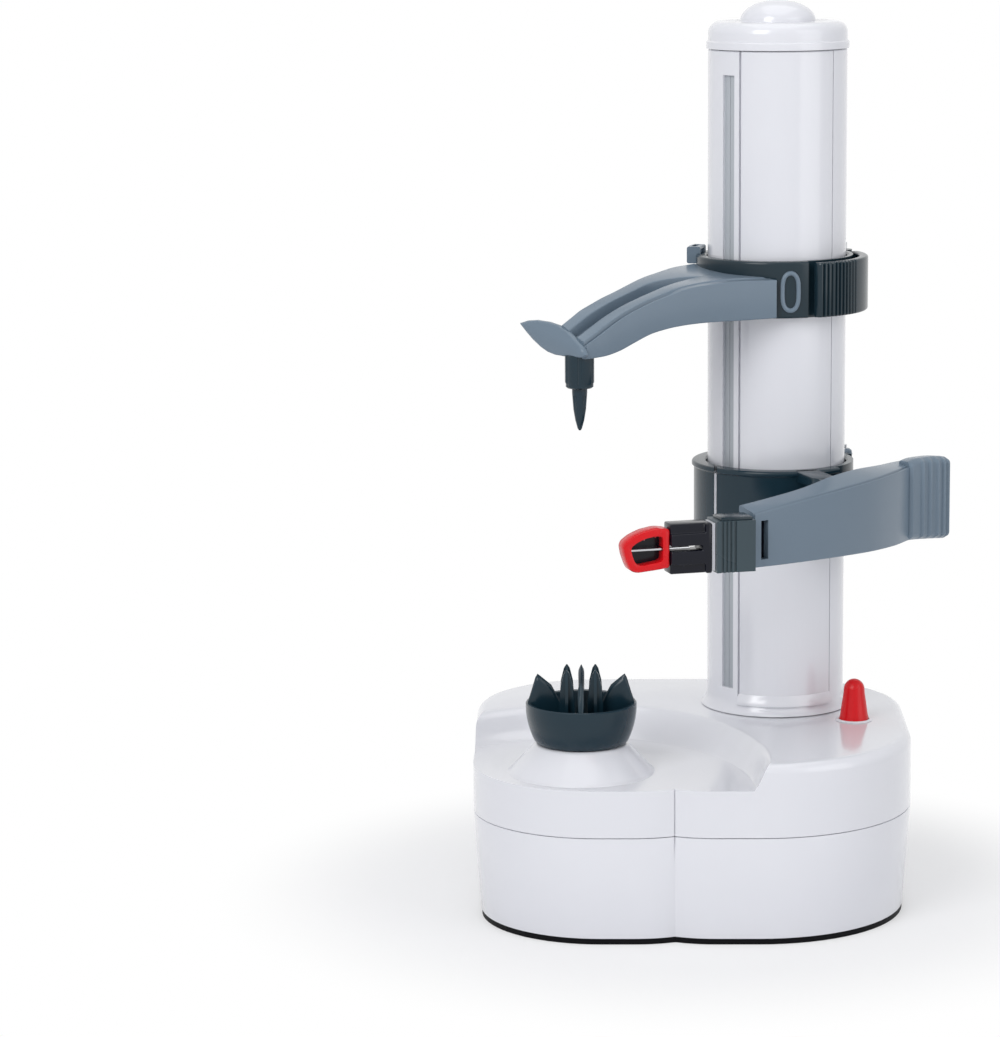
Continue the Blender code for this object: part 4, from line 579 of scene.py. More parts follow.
def make_tower():
    """Tower tube with its slot, cover seams, foot, sill, and slot lips grey with painted shade."""
    profile = [(20.7, 274.7), (22.2, 274.7), (22.5, 274.4), (22.5, 63.0), (22.6, 62.0),
               (22.95, 60.9), (23.5, 59.9), (24.1, 59.2), (24.5, 58.8), (20.7, 58.8),
               (20.7, 274.7)]
    tube = spun("tower_tube", profile, steps=144)
    carve(tube, aimed_block("slot_room", ARM_BEARING, 15, 30, 2.5, 66.8, 267.0))
    for side, bearing, half in (("left", COVER_LEFT, 0.4), ("right", COVER_RIGHT, 0.16)):
        carve(tube, aimed_block("seam_" + side, bearing, 21.2, 30, half, 64.6, 280))
    carve(tube, ring_sector("cover_foot_line", square_section(22.1, 26.0, 64.3, 64.65),
                            COVER_LEFT, COVER_RIGHT, 24))
    finish_piece(tube, WHITE, "white_shell", "base", "tower_shell", "tower_front_cover", angle=30)
    section = rounded(((22.0, 61.8), (23.9, 61.8), (23.6, 63.0), (22.6, 65.4), (22.0, 65.4)),
                      (0.3,) * 5, 2)
    finish_piece(ring_sector("cover_sill", section, COVER_LEFT, COVER_RIGHT, 36),
                 WHITE, "white_shell", "base")
    # Lips in the slot, grey as painted shade of its walls.
    for side, bearing in (("left", ARM_BEARING - 3.6), ("right", ARM_BEARING + 3.6)):
        lip = aimed_block("slot_lip_" + side, bearing, 20.9, 21.6, 1.3, 66.6, 267.2)
        soften(lip, 0.2 * MM, 2)
        finish_piece(lip, SLOT_SHADE_GREY, "white_shell", "base")


def make_cap():
    """Cap with its rim band and domed knob."""
    profile = curve_of((0, 283.6), (12.2, 6.8), 90, 0, 14)
    profile += [(12.9, 283.3)]
    profile += curve_of((18.9, 280.0), (3.6, 3.6), 90, 0, 8)
    profile += [(22.5, 277.6), (23.1, 277.1), (23.1, 275.0), (20.4, 275.0), (20.4, 270.0),
                (3.3, 270.0), (3.3, 275.0), (0, 275.0)]
    cap = spun("tower_cap_dome", profile, steps=144)
    finish_piece(cap, WHITE, "white_shell", "base", "tower_cap")


# Turntable cup

# Rows of a fin: distance from the cup's axis, foot, top and half thickness
FIN_ROWS = ((5.6, 61.4, 70.6, 0.4), (7.6, 61.4, 74.6, 0.6), (9.4, 61.4, 78.0, 0.85),
            (13.0, 61.4, 81.0, 1.0), (13.8, 61.6, 81.6, 0.95), (14.5, 62.5, 80.4, 0.95),
            (15.7, 66.0, 76.4, 0.9), (16.9, 71.4, 72.6, 0.7))
# Rows of a prong: height and reach of its crossed blades
PRONG_ROWS = ((61.9, 2.9), (63.2, 2.6), (72.0, 2.4), (78.5, 1.9), (82.3, 0.95), (83.5, 0.2))
PRONG_CIRCLE = 6.4
SPIKES = 4


def make_cup():
    """Spiked cup: a turned bowl with pointed fins and prongs."""
    profile = [(0, 62.0), (12.4, 62.0), (14.6, 66.0), (15.7, 71.6), (16.1, 72.3), (17.3, 72.5),
               (17.6, 72.15), (17.6, 70.8), (17.5, 69.1), (17.25, 67.3), (16.8, 65.2),
               (16.2, 63.2), (15.5, 61.4), (14.9, 60.2), (14.3, 59.6), (3.3, 59.6), (3.3, 61.0),
               (0, 61.0)]
    cup = spun("spiked_cup", profile, CUP_SPOT)
    finish_piece(cup, TEAL, "teal_cup", "turntable", "turntable_cup")
    for i in range(SPIKES):
        finish_piece(cup_fin(i), TEAL, "teal_cup", "turntable", angle=40)
        finish_piece(cup_prong(i), TEAL, "teal_cup", "turntable", angle=40)


def cup_fin(i):
    """Upright pointed fin that runs in from the cup's rim."""
    centre = CUP_SPOT / MM
    out = facing(TURN * i / SPIKES)
    side = Vector((-out.y, out.x, 0))
    rings = []
    for distance, foot, tip, half in FIN_ROWS:
        shoulder = foot + (tip - foot) * 0.9
        section = rounded(((-half, foot), (half, foot), (half, shoulder), (0, tip),
                           (-half, shoulder)), (0.2, 0.2, 0.5, 0.3, 0.5), 2)
        rings.append([(*(centre + out * distance + side * across).xy, height)
                      for across, height in section])
    return wrapped("cup_fin_%d" % i, rings)


def cup_prong(i):
    """Spike of crossed blades that tapers to a point."""
    centre = CUP_SPOT / MM + facing(TURN * (i + 0.5) / SPIKES) * PRONG_CIRCLE
    rings = []
    for height, reach in PRONG_ROWS:
        half = min(0.5, reach * 0.4)
        cross = ((reach, -half), (reach, half), (half, half), (half, reach), (-half, reach),
                 (-half, half), (-reach, half), (-reach, -half), (-half, -half), (-half, -reach),
                 (half, -reach), (half, -half))
        rings.append([(centre.x + x, centre.y + y, height) for x, y in cross])
    return wrapped("cup_prong_%d" % i, rings)


# Collars and their grips

UPPER_COLLAR = {"low": 190.0, "high": 208.2, "outer": 26.4, "start": 24}
LOWER_COLLAR = {"low": 119.0, "high": 140.5, "outer": 27.0, "start": 50}
COLLAR_BORE = 23.0
RIM_ROUND = 0.8
EAR_RADIUS = 2.8
GRIP_WALL = 3.0
GROOVE_PITCH = 3.1
GROOVE_DEPTH = 0.75


def make_collar(name, size, lip):
    """Collar with a rounded rim, relieved where its grip swings, with a hinge ear."""
    low, high, outer = size["low"], size["high"], size["outer"]
    rounds = (RIM_ROUND, RIM_ROUND)
    profile = [(COLLAR_BORE, high - 0.5), (COLLAR_BORE + 0.5, high)]
    profile += curve_of((outer - RIM_ROUND + lip, high - RIM_ROUND), rounds, 90, 0, 5)
    profile += [(outer + lip, high - 1.4), (outer, high - 1.4 - lip), (outer, low + RIM_ROUND)]
    profile += curve_of((outer - RIM_ROUND, low + RIM_ROUND), rounds, 0, -90, 5)
    profile += [(COLLAR_BORE + 0.5, low), (COLLAR_BORE, low + 0.5), (COLLAR_BORE, high - 0.5)]
    collar = spun(name, profile, steps=128)
    x, y = bearing_spot(HINGE_BEARING, outer + 1.8)
    ear = rod(name + "_ear", (x * MM, y * MM), EAR_RADIUS, low + 0.3, high - 0.3)
    carve(collar, ear, "UNION")
    grip_room = square_section(outer - 1.6, outer + 7, low - 4, high + 4)
    carve(collar, ring_sector(name + "_room", grip_room, size["start"] - 4, GRIP_STOP, 40))
    knuckle_room = square_section(outer - 1.3, outer + 7.3, low + 4, high - 4)
    carve(collar, ring_sector(name + "_knuckle_room", knuckle_room, GRIP_STOP - 4,
                              HINGE_BEARING + 8, 12))
    return collar


def make_grip(name, size, high, finish, slot, body, node):
    """Grip with upright grooves at its free end, hinged behind the collar."""
    low, start = size["low"] + 0.3, size["start"]
    inner = size["outer"] + 0.3
    face = inner + GRIP_WALL
    rings = []
    for i in range(281):
        bearing = start + (GRIP_STOP - start) * i / 280
        reach = face
        if start + 2.5 < bearing < start + 33:
            groove = math.cos(math.radians((bearing - start - 2.5) / GROOVE_PITCH * 360))
            reach -= GROOVE_DEPTH * max(0, -groove) ** 0.6
        end_round = min(1, (bearing - start + 0.05) / 2.2) ** 0.5
        reach = inner + 1.2 + (reach - inner - 1.2) * end_round
        rings.append(ring_at(bearing, box_section(inner, reach, low, high, 0.8)))
    grip = wrapped(name, rings)
    link = ring_sector(name + "_link", box_section(inner + 0.3, face - 0.3, low + 4, high - 4),
                       GRIP_STOP - 4, HINGE_BEARING, 12)
    x, y = bearing_spot(HINGE_BEARING, inner + 1.5)
    knuckle = rod(name + "_knuckle", (x * MM, y * MM), EAR_RADIUS, low + 4, high - 4)
    soften(knuckle, 0.35 * MM, 2)
    finish_piece(grip, finish, slot, body, node)
    finish_piece(link, finish, slot, body)
    finish_piece(knuckle, finish, slot, body)


# Upper arm

# Rows: along from the tower's axis, front side, back side, bottom, front top, back top,
# the channel's near and far edge as shares of the way back, its depth, depth of the line
# above the side face; in mm, heights from the table
ARM_ROWS = (
    (20.5, 19.9, 19.2, 190.4, 202.7, 205.3, 0.44, 0.46, 0.0, 0.0),
    (32.0, 16.6, 15.8, 190.4, 203.0, 205.4, 0.44, 0.46, 0.0, 0.0),
    (38.0, 15.2, 13.9, 190.5, 203.0, 205.1, 0.44, 0.46, 0.2, 0.0),
    (44.0, 13.9, 12.2, 190.6, 202.7, 204.6, 0.42, 0.56, 2.2, 0.0),
    (50.0, 12.7, 11.1, 190.5, 202.2, 203.9, 0.40, 0.64, 3.6, 0.0),
    (55.0, 11.7, 10.2, 190.2, 201.4, 203.0, 0.39, 0.69, 4.4, 0.2),
    (60.0, 10.6, 9.3, 189.6, 200.0, 201.9, 0.39, 0.70, 4.6, 0.9),
    (66.0, 9.5, 8.4, 188.4, 198.3, 200.5, 0.39, 0.70, 4.6, 1.2),
    (72.0, 8.5, 7.6, 186.2, 196.2, 199.2, 0.39, 0.70, 4.6, 1.2),
    (77.0, 7.6, 6.8, 184.2, 194.0, 197.9, 0.39, 0.70, 4.4, 1.2),
    (82.0, 7.0, 6.3, 183.0, 191.4, 196.4, 0.39, 0.70, 4.2, 1.2),
    (86.0, 6.4, 5.8, 182.6, 189.1, 194.7, 0.39, 0.70, 4.0, 1.2),
    (90.5, 6.0, 5.5, 182.5, 186.8, 192.6, 0.39, 0.70, 3.4, 1.0),
)
AIM = Vector(bearing_spot(ARM_BEARING, 1))
ACROSS = Vector((-AIM.y, AIM.x))
# Outline of the leaf paddle across the arm, its middle and its place along the arm
PADDLE = ((-22.6, 191.6), (-19.5, 192.6), (-16.0, 193.0), (-11.0, 192.8), (-6.0, 192.0),
          (-1.5, 190.2), (3.0, 187.7), (5.8, 186.0), (7.3, 184.2), (6.4, 183.3), (4.0, 182.9),
          (-4.0, 182.6), (-8.0, 182.7), (-11.0, 183.3), (-14.0, 184.6), (-17.4, 186.8),
          (-20.2, 189.2))
PADDLE_MIDDLE = (-6, 187.4)
PADDLE_ALONG = 90.3
PADDLE_DISH = 1.9


def arm_spot(along, across, height):
    """Point by its place along and across the arm, in mm."""
    return (*(AIM * along + ACROSS * across), height)


def arm_section(share):
    """Section of the arm with its line, channel and hollow underside."""
    along, front, back, low, front_top, back_top, near, far, depth, line = (
        along_table(ARM_ROWS, column, share) for column in range(10))

    def top(part, drop=0):
        return front - (front + back) * part, front_top + (back_top - front_top) * part - drop

    ceiling = low + (front_top - low) * 0.45
    corners = ((front, low), (front, front_top), top(0.03), top(0.04, line), top(0.10, line),
               top(0.12, -0.35), top(near), top(near + 0.01, depth), top(far - 0.01, depth),
               top(far), top(0.97), (-back, back_top - 0.9), (-back, low),
               (-back + 2.2, low), (-back + 2.2, ceiling), (front - 2.2, ceiling),
               (front - 2.2, low))
    radii = (0.5, 0.3, 0.15, 0.15, 0.15, 0.3, 0.4, 0.5, 0.5, 0.4, 0.9, 0.6, 0.5, 0.4, 0.6, 0.6,
             0.4)
    return [arm_spot(along, across, height) for across, height in rounded(corners, radii)]


def arm_paddle():
    """Dished leaf at the arm's end."""
    middle, middle_height = PADDLE_MIDDLE
    rings = []
    for offset, grow in ((-1.0, 0.90), (-0.8, 0.97), (-0.3, 1.0), (0.6, 1.0), (1.1, 0.96),
                         (1.3, 0.88)):
        ring = []
        for across, height in PADDLE:
            dish = PADDLE_DISH * ((across - middle) / 18) ** 2
            ring.append(arm_spot(PADDLE_ALONG + offset + dish,
                                 middle + (across - middle) * grow,
                                 middle_height + (height - middle_height) * grow))
        rings.append(ring)
    return wrapped("arm_paddle", rings)


def cut_flutes(piece, name, count, first, distance, radius, low, high):
    """Cut upright flutes round the turntable's axis, the first at an angle."""
    for k in range(count):
        way = facing(math.radians(first + 360 / count * k))
        carve(piece, rod(name, CUP_SPOT + way * distance * MM, radius, low, high, steps=16))


def make_upper_arm():
    """Upper arm with its collar, beam, paddle, pin, loop, tab and grip."""
    collar = make_collar("arm_collar", UPPER_COLLAR, 0.0)
    finish_piece(collar, SLATE_DARK, "slate_arm", "arm", "upper_arm")
    beam = wrapped("arm_beam", [arm_section(i / 72) for i in range(73)])
    carve(beam, rod("arm_core", TOWER_SPOT, 24.6, 180, 215, steps=96))
    finish_piece(beam, SLATE, "slate_arm", "arm", angle=40)
    finish_piece(arm_paddle(), SLATE, "slate_arm", "arm", angle=50)
    sleeve_profile = [(0, 183.2), (4.3, 183.2), (4.6, 182.9), (4.6, 174.6), (4.35, 174.2),
                      (4.35, 173.2), (3.9, 172.8), (2.7, 172.8), (2.7, 174.6), (0, 174.6)]
    sleeve = spun("pin_sleeve", sleeve_profile, CUP_SPOT, steps=64)
    cut_flutes(sleeve, "sleeve_flute", 6, 30, 5.0, 0.75, 170, 183)
    finish_piece(sleeve, TEAL, "slate_arm", "arm")
    pin_profile = [(0, 172.5), (2.4, 172.5), (2.4, 171.4), (2.0, 166.0), (1.4, 162.5),
                   (0.7, 160.0), (0.35, 159.4), (0, 159.3)]
    pin = spun("fruit_spike", pin_profile, CUP_SPOT, steps=32)
    cut_flutes(pin, "spike_flute", 4, 45, 2.75, 0.95, 155, 170.4)
    finish_piece(pin, TEAL, "teal_cup", "pin", "fruit_pin")
    loop = loop_plate("arm_loop", 7.0, UPPER_COLLAR["outer"], 192.6, 204.6)
    finish_piece(loop, SLATE, "slate_arm", "arm")
    tab = ring_sector("arm_rear_tab", box_section(25.0, 29.4, 204.9, 210.4, 0.7), -114, -95, 10)
    carve(tab, ring_sector("tab_window", box_section(26.3, 28.1, 206.6, 214, 0.3), -111, -98, 8))
    carve(tab, aimed_block("tab_gap", -104.5, 20, 34, 2.6, 206.6, 209.4))
    finish_piece(tab, SLATE, "slate_arm", "arm")
    make_grip("arm_side_grip", UPPER_COLLAR, 207.9, SLATE_DARK, "slate_arm", "arm_grip",
              "upper_grip")


def loop_plate(name, bearing, radius, low, high):
    """Raised oval loop on a collar's face."""
    rings = []
    middle = (low + high) / 2
    reach = (high - low) / 2
    for i in range(49):
        turn = TURN * i / 48
        width = 2.6 * math.cos(turn)
        rise = reach * math.copysign(abs(math.sin(turn)) ** 0.6, math.sin(turn))
        ring = []
        for k in range(8):
            tube = TURN * k / 8
            bulge = 0.75 * math.cos(tube)
            lift = 0.7 * math.sin(tube)
            x, y = bearing_spot(bearing + math.degrees((width + bulge * math.cos(turn)) / radius),
                                radius + 0.15 + lift)
            ring.append((x, y, middle + rise + bulge * math.sin(turn)))
        rings.append(ring)
    return wrapped(name, rings)


# Peeling carriage and lever

# Rows: plan point of the front face, lower edge, upper edge, top at the back; mm
LEVER_ROWS = (
    (-10.0, -79.0, 118.9, 135.8, 137.6),
    (0.0, -71.5, 118.6, 137.3, 138.8),
    (11.0, -62.5, 118.3, 138.7, 140.4),
    (21.0, -52.5, 117.8, 139.6, 142.4),
    (30.0, -41.0, 117.1, 140.1, 142.9),
    (37.5, -28.0, 116.4, 140.3, 142.0),
    (43.0, -16.0, 116.0, 140.3, 141.0),
    (46.6, -11.8, 115.8, 140.3, 140.8),
)
# Rows: plan point of the front face, lower and upper edge; mm
THUMB_ROWS = (
    (42.6, -17.2, 115.9, 141.9),
    (45.4, -13.9, 115.6, 142.5),
    (49.0, -10.0, 115.1, 142.4),
    (52.6, -6.4, 114.6, 142.1),
    (55.0, -3.2, 114.1, 141.6),
    (56.2, 0.0, 113.6, 141.0),
)
PIVOT = (13.5, -37.5)
PIVOT_RADIUS = 4.0
HEAD_ROOT = Vector((-11.2, -80.0))
HEAD_LINE = (Vector((-53.0, -92.5)) - HEAD_ROOT).normalized()
HEAD_SIDE = Vector((HEAD_LINE.y, -HEAD_LINE.x))
HEAD_LOW = 119
KNUCKLE_GROOVES = (6.8, 8.3, 9.6, 10.9)
GUARD_START = 27.3


def inward_of(table, share):
    """Point of a table's plan line and the direction that leads in from it."""
    before, after, spot = (
        Vector((along_table(table, 0, place), along_table(table, 1, place)))
        for place in (share - 0.02, share + 0.02, share))
    run = (after - before).normalized()
    return spot, Vector((-run.y, run.x))


def inward_ring(table, share, section):
    """Section of (depth, height) set in from a table's plan line."""
    spot, inward = inward_of(table, share)
    return [(*(spot + inward * depth), height) for depth, height in section]


def lever_section(share):
    """Rounded channel section of the lever, with the line along its upper edge."""
    low, edge, top = (along_table(LEVER_ROWS, column, share) for column in (2, 3, 4))
    corners = ((0, low), (0, edge - 0.3), (0.35, edge), (0.6, edge - 0.7), (0.9, edge - 0.7),
               (1.2, edge + 0.2), (7.6, top), (8.0, top - 0.5), (8.0, top - 2.2),
               (2.2, edge - 1.9), (2.2, low + 2.2), (8.0, low + 2.0), (8.0, low),
               (0.9, low - 0.1))
    radii = (0.5, 0.3, 0.15, 0.1, 0.1, 0.4, 0.4, 0.4, 0.4, 0.8, 0.8, 0.4, 0.5, 0.4)
    return inward_ring(LEVER_ROWS, share, rounded(corners, radii))


def thumb_section(share):
    """Section of the thumb grip, its front face raised where a rib runs."""
    low, high = (along_table(THUMB_ROWS, column, share) for column in (2, 3))
    rib = 0
    if 0.19 < share < 0.93:
        rib = 0.8 * max(0, math.cos(TURN * (share - 0.27) / 0.145)) ** 0.6
    fade = min(1, share / 0.06, (1 - share) / 0.03 + 0.1)
    depth = 1.4 + 3.6 * fade
    proud = 0.9 * fade
    corners = ((-rib - proud, low + 1.4), (-rib - proud, high - 1.3), (0.8, high),
               (depth, high - 0.2), (depth, low), (0.8, low))
    return inward_ring(THUMB_ROWS, share, rounded(corners, (1.0, 1.0, 0.6, 0.8, 0.8, 0.6)))


def slot_plan(start, stop, near, far):
    """Plan corners of a block at the lever's left end, by its run and its depth."""
    root = Vector(LEVER_ROWS[0][:2])
    run = (Vector(LEVER_ROWS[1][:2]) - root).normalized()
    inward = Vector((-run.y, run.x))
    return [tuple(root + run * along + inward * depth)
            for along, depth in ((start, near), (stop, near), (stop, far), (start, far))]


def make_lever():
    """Lever with its slot, ribbed thumb grip, pivot sleeve and the whole blade head."""
    beam = wrapped("lever_beam", [lever_section(i / 56) for i in range(57)])
    carve(beam, plan_piece("lever_slot", slot_plan(2.4, 5.2, -4, 5), 121.2, 133.4))
    finish_piece(beam, SLATE, "slate_arm", "lever", "peel_lever", angle=40)
    tongue = plan_piece("lever_tongue", slot_plan(0.6, 7.0, 2.3, 3.6), 120.8, 134.0)
    soften(tongue, 0.25 * MM, 2)
    finish_piece(tongue, NIGHT, "black_plate", "lever")
    thumb = wrapped("thumb_rest", [thumb_section(i / 120) for i in range(121)])
    finish_piece(thumb, SLATE, "slate_arm", "lever", angle=40)
    web = plan_piece("lever_web", ((11.5, -37.5), (13.0, -59.8), (23.0, -49.2), (15.5, -37.5)),
                     122.8, 136.7)
    soften(web, 0.4 * MM, 2)
    finish_piece(web, SLATE, "slate_arm", "lever")
    profile = [(1.8, 136.3), (2.2, 136.7), (3.6, 136.7), (4.0, 136.3), (4.0, 123.2),
               (3.6, 122.8), (2.2, 122.8), (1.8, 123.2), (1.8, 136.3)]
    hub = spun("lever_hub", profile, Vector((*PIVOT, 0)) * MM, steps=40)
    finish_piece(hub, SLATE, "slate_arm", "lever")
    make_blade_head()


# Outlines of the guard, its window and the black plate behind, part inner frame and part painted
# shade in the window: distance and height from the foot
GUARD_OUTER = ((0, 2.2), (0, 14.2), (4.0, 14.7), (8.4, 13.9), (11.8, 12.5), (14.2, 10.8),
               (14.9, 9.4), (14.5, 6.8), (13.4, 3.6), (12.4, 1.7), (10.4, 1.1), (4.0, 1.7))
GUARD_INNER = ((2.2, 4.4), (2.2, 12.0), (4.4, 12.3), (7.8, 11.7), (10.6, 10.5), (12.2, 9.3),
               (12.4, 8.2), (12.0, 6.4), (11.2, 4.4), (10.2, 3.5), (8.6, 3.3), (4.6, 3.9))
GUARD_FRAME_AND_SHADE = ((1.6, 3.6), (1.6, 12.6), (4.4, 12.9), (8.0, 12.3), (11.0, 11.0), (12.8, 9.6),
              (12.6, 6.4), (11.6, 4.0), (10.2, 2.9), (8.6, 2.7), (4.6, 3.1))


def head_spot(distance, aside):
    """Plan point along the blade head's line, and aside to its back; mm."""
    return tuple(HEAD_ROOT + HEAD_LINE * distance + HEAD_SIDE * aside)


def head_block(name, start, stop, front, back, low, high):
    """Block on the blade head's line, by distances, sides and heights."""
    corners = ((start, front), (stop, front), (stop, back), (start, back))
    return plan_piece(name, [head_spot(*corner) for corner in corners], low, high)


def guard_skin(name, outline, half, edge, shift=0):
    """Upright outline of the guard with a softened rim, across the blade head."""
    middle_d = sum(point[0] for point in outline) / len(outline)
    middle_h = sum(point[1] for point in outline) / len(outline)
    rings = []
    for aside, grow in ((-half, 1 - edge), (-half + 0.5, 1), (half - 0.5, 1), (half, 1 - edge)):
        ring = []
        for distance, height in rounded(outline, (1.0,) * len(outline)):
            spot = head_spot(GUARD_START + middle_d + (distance - middle_d) * grow, aside + shift)
            ring.append((*spot, HEAD_LOW + middle_h + (height - middle_h) * grow))
        rings.append(ring)
    return wrapped(name, rings)


def head_knuckle():
    """Knuckle block with fine grooves across its front."""
    front = []
    for i in range(126):
        distance = 0.3 + i / 10
        groove = 0.5 * any(abs(distance - line) < 0.35 for line in KNUCKLE_GROOVES)
        front.append(head_spot(distance, -5.0 + groove))
    outline = front + [head_spot(12.8, 5.0), head_spot(0.3, 5.0)]
    return plan_piece("head_knuckle", outline, HEAD_LOW, 135)


def make_blade_head():
    """Grooved knuckle, blade holder with its slit, red guard and the blade."""
    finish_piece(head_knuckle(), SLATE_GREY, "slate_arm", "lever", "blade_knuckle")
    step = head_block("knuckle_step", 1.0, 11.2, -4.2, 4.2, 134.6, 136.0)
    soften(step, 0.3 * MM, 2)
    finish_piece(step, SLATE_DARK, "slate_arm", "lever")
    # White block between knuckle and holder: painted light, the bright line seen in that gap.
    painted_light_spacer = head_block("head_painted_light_spacer", 12.9, 13.9, -3.4, 3.4, 119.6, 134.4)
    finish_piece(painted_light_spacer, WHITE, "nylon", "lever")
    holder = head_block("head_holder", 14.0, 27.1, -4.0, 4.0, HEAD_LOW, 134.6)
    carve(holder, head_block("top_step", 16.0, 30.0, -6.0, -2.6, 131.6, 140))
    carve(holder, head_block("low_step", 16.0, 30.0, -6.0, -2.6, 115, 122.0))
    carve(holder, head_block("slit", 17.0, 30.0, -6.0, 6.0, 126.2, 127.8))
    soften(holder, 0.5 * MM, 3, 40)
    finish_piece(holder, NIGHT, "black_plate", "lever", "blade_holder")
    guard = guard_skin("head_guard", GUARD_OUTER, 3.0, 0.05)
    carve(guard, guard_skin("guard_window", GUARD_INNER, 5.0, 0.0))
    carve(guard, head_block("guard_slit", 24.0, 31.0, -2.4, 2.4, 126.4, 127.6))
    soften(guard, 0.35 * MM, 2, 40)
    finish_piece(guard, RED, "red_plastic", "lever", "blade_guard")
    # Black plate behind the guard: its inner frame, and painted shade filling the guard's window.
    back = guard_skin("guard_frame_and_shade", GUARD_FRAME_AND_SHADE, 0.5, 0.0, shift=1.9)
    finish_piece(back, NIGHT, "black_plate", "lever")
    for i, (distance, height) in enumerate(((31.0, 130.2), (34.6, 129.6), (38.0, 128.6))):
        spot = Vector((*head_spot(distance, 0.6), height)) * MM
        stud = spun("guard_stud_%d" % i, [(0, 0.5), (0.35, 0.4), (0.5, 0), (0, 0)], spot, steps=12)
        finish_piece(stud, STEEL, "steel", "lever")
    edge = head_block("head_blade", 20.6, 40.6, -2.0, 2.0, 126.7, 127.3)
    soften(edge, 0.12 * MM, 2, 40)
    finish_piece(edge, STEEL, "steel", "lever", "blade")


def make_carriage():
    """Carriage collar with its rolled rim, split, ears for the lever and peg seat."""
    collar = make_collar("carriage_collar", LOWER_COLLAR, 0.7)
    carve(collar, block("collar_split", (-20.9, -32, 110), (-19.95, -9, 150)))
    finish_piece(collar, TEAL, "teal_cup", "carriage", "peeler_carriage")
    # White strip in the split: painted light, the bright line seen along the split.
    painted_light_strip = block("split_painted_light_strip", (-20.8, -17.0, 119.4), (-20.05, -12.0, 138.6))
    finish_piece(painted_light_strip, WHITE, "nylon", "carriage")
    root = Vector(PIVOT).normalized()
    side = Vector((-root.y, root.x)) * PIVOT_RADIUS
    first = math.atan2(-side.y, -side.x)
    outline = [tuple(root * 25.0 + side), tuple(root * 25.0 - side)]
    for i in range(25):
        angle = first + math.pi * i / 24
        outline.append((PIVOT[0] + PIVOT_RADIUS * math.cos(angle),
                        PIVOT[1] + PIVOT_RADIUS * math.sin(angle)))
    for name, low in (("lower_ear", 119.0), ("upper_ear", 137.0)):
        ear = plan_piece(name, outline, low, low + 3.5)
        soften(ear, 0.4 * MM, 2, 50)
        finish_piece(ear, TEAL, "teal_cup", "carriage")
    seat = spun("peg_seat", [(0, 141.2), (1.9, 141.2), (2.7, 140.6), (3.0, 139.2), (0, 139.2)],
                Vector((*bearing_spot(HINGE_BEARING, 28.8), 0)) * MM, steps=32)
    finish_piece(seat, SLATE, "slate_arm", "carriage")
    make_grip("carriage_side_grip", LOWER_COLLAR, 132.0, TEAL, "teal_cup", "carriage_release",
              "carriage_grip")


# Start button

def make_button():
    """Bullet-shaped red button in its pale seat."""
    profile = [(0, 72.2)] + curve_of((0, 68.6), (3.4, 3.6), 84, 8, 10)
    profile += [(3.5, 67.4), (3.95, 64.4), (4.5, 60.4), (4.7, 59.6), (4.7, 56.5), (0, 56.5)]
    button = spun("start_press", profile, BUTTON_SPOT, steps=64)
    finish_piece(button, RED, "red_plastic", "button", "start_button")
    profile = [(4.95, 58.9), (5.1, 59.1), (5.4, 59.1), (5.8, 58.85), (6.0, 58.6), (4.95, 58.6),
               (4.95, 58.9)]
    seat = spun("button_seat", profile, BUTTON_SPOT, steps=64)
    finish_piece(seat, WHITE, "white_shell", "base", "button_bezel")


# Stage

SHADOW_MIDDLE = (-0.03, -0.02, 0)
SHADOW_NEAR = 0.085
SHADOW_FAR = 0.16
# Name, place, width and power of each lamp
LAMPS = (("key", (-0.66, -1.02, 0.92), 0.6, 8.6), ("fill", (1.00, -0.75, 0.50), 0.9, 4.2),
         ("top", (0.0, 0.1, 1.3), 0.9, 3.5))
LAMP_AIM = Vector((-0.02, -0.02, 0.13))
CAMERA_SPOT = (-0.0567, -1.2019, 0.3328)
CAMERA_TURNS = ((1.64, "Z"), (80, "X"), (-0.5, "Z"))


def background_rays(tree):
    """Mask of the rays that see the white background."""
    ray = tree.nodes.new("ShaderNodeLightPath")
    first, either = (tree.nodes.new("ShaderNodeMath") for _ in range(2))
    first.operation = "MAXIMUM"
    either.operation = "MAXIMUM"
    wire_all(tree, (ray, "Is Camera Ray", first, 0), (ray, "Is Glossy Ray", first, 1),
             (first, 0, either, 0), (ray, "Is Transmission Ray", either, 1))
    return either


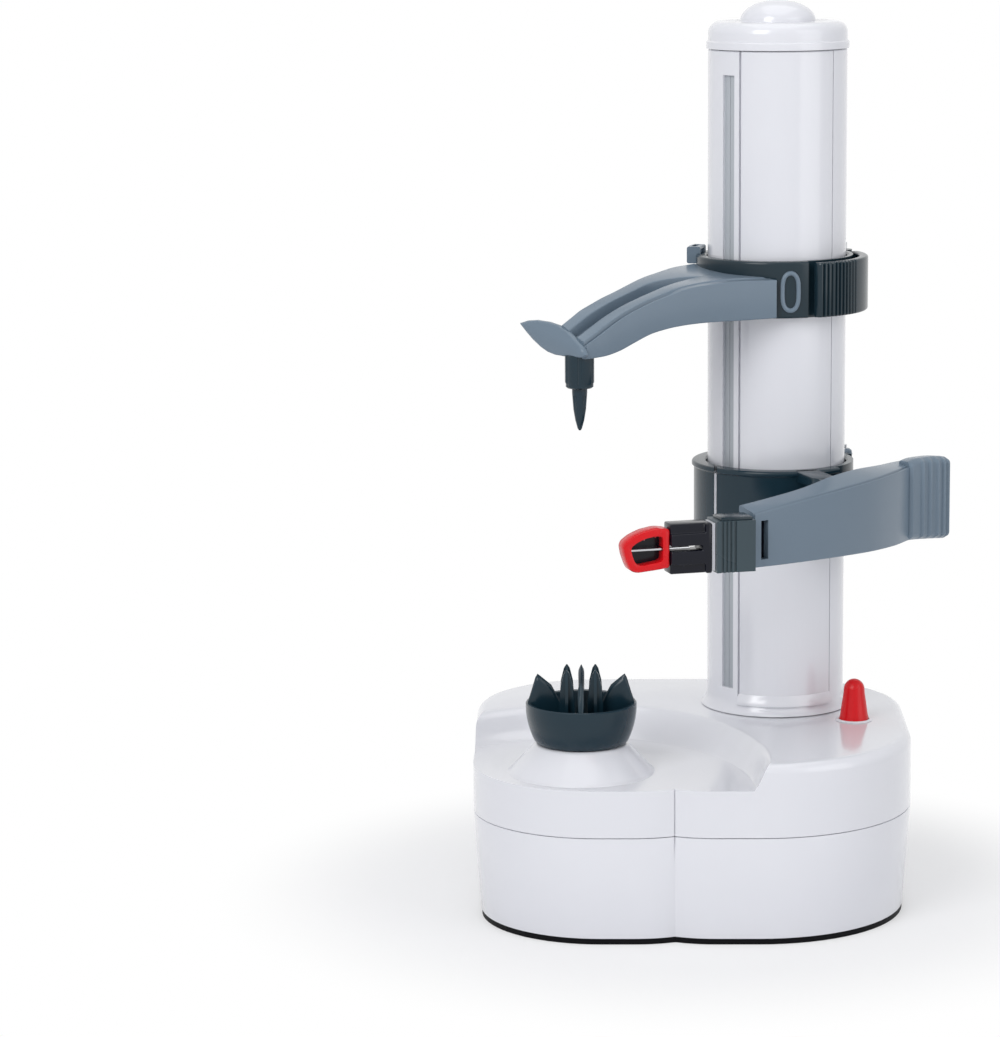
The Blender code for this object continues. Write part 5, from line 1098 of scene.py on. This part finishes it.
def make_floor():
    """Pale floor that keeps the shadow and turns white away from the object."""
    clear_hands()
    bpy.ops.mesh.primitive_plane_add(size=6, location=(0, 1.2, -0.05 * MM))
    floor = keep_as("studio_floor")
    paper = bpy.data.materials.new("studio_paper")
    paper.use_nodes = True
    tree = paper.node_tree
    nodes = tree.nodes
    shader = nodes["Principled BSDF"]
    set_inputs(shader, {"Base Color": (0.86, 0.86, 0.87, 1), "Roughness": 0.9})
    backdrop = nodes.new("ShaderNodeEmission")
    place = nodes.new("ShaderNodeTexCoord")
    distance = nodes.new("ShaderNodeVectorMath")
    distance.operation = "DISTANCE"
    set_inputs(distance, {1: SHADOW_MIDDLE})
    spread = nodes.new("ShaderNodeMapRange")
    spread.interpolation_type = "SMOOTHSTEP"
    set_inputs(spread, {"From Min": SHADOW_NEAR, "From Max": SHADOW_FAR, "To Min": 0.45})
    seen = nodes.new("ShaderNodeMath")
    seen.operation = "MULTIPLY"
    cover = nodes.new("ShaderNodeMixShader")
    wire_all(tree, (place, "Object", distance, 0), (distance, "Value", spread, "Value"),
             (spread, "Result", seen, 0), (background_rays(tree), 0, seen, 1),
             (seen, 0, cover, 0), (shader, 0, cover, 1), (backdrop, 0, cover, 2),
             (cover, 0, nodes["Material Output"], 0))
    floor.data.materials.append(paper)


def make_world():
    """Soft cool light all round, and white where a ray sees the background."""
    world = bpy.data.worlds.new("studio")
    world.use_nodes = True
    bpy.context.scene.world = world
    tree = world.node_tree
    nodes = tree.nodes
    shade = nodes["Background"]
    set_inputs(shade, {"Color": (0.93, 0.95, 1.0, 1), "Strength": 0.42})
    white = nodes.new("ShaderNodeBackground")
    set_inputs(white, {"Color": (1, 1, 1, 1), "Strength": 1})
    choose = nodes.new("ShaderNodeMixShader")
    wire_all(tree, (background_rays(tree), 0, choose, 0), (shade, 0, choose, 1),
             (white, 0, choose, 2), (choose, 0, nodes["World Output"], 0))


def hang(name, data, spot, rotation):
    """Put a lamp or camera in its place."""
    holder = bpy.data.objects.new(name, data)
    bpy.context.scene.collection.objects.link(holder)
    holder.location = spot
    holder.rotation_euler = rotation.to_euler()
    return holder


def make_lamps_and_camera():
    """Soft lamps, and the camera at the photograph's angle."""
    for name, spot, size, power in LAMPS:
        lamp = bpy.data.lights.new(name, "AREA")
        lamp.shape = "RECTANGLE"
        lamp.size = size
        lamp.size_y = size * 1.4
        lamp.energy = power
        hang(name, lamp, spot, (LAMP_AIM - Vector(spot)).to_track_quat("-Z", "Y"))
    camera = bpy.data.cameras.new("photo_camera")
    camera.lens = 128
    camera.sensor_width = 36
    turn = Matrix.Identity(4)
    for degrees, axis in CAMERA_TURNS:
        turn = turn @ Matrix.Rotation(math.radians(degrees), 4, axis)
    bpy.context.scene.camera = hang("photo_camera", camera, CAMERA_SPOT, turn)
    bpy.context.scene.view_settings.view_transform = "Standard"


dress_nodes()
make_base_lower()
make_base_top()
make_tower()
make_cap()
make_cup()
make_upper_arm()
make_carriage()
make_lever()
make_button()
make_floor()
make_world()
make_lamps_and_camera()
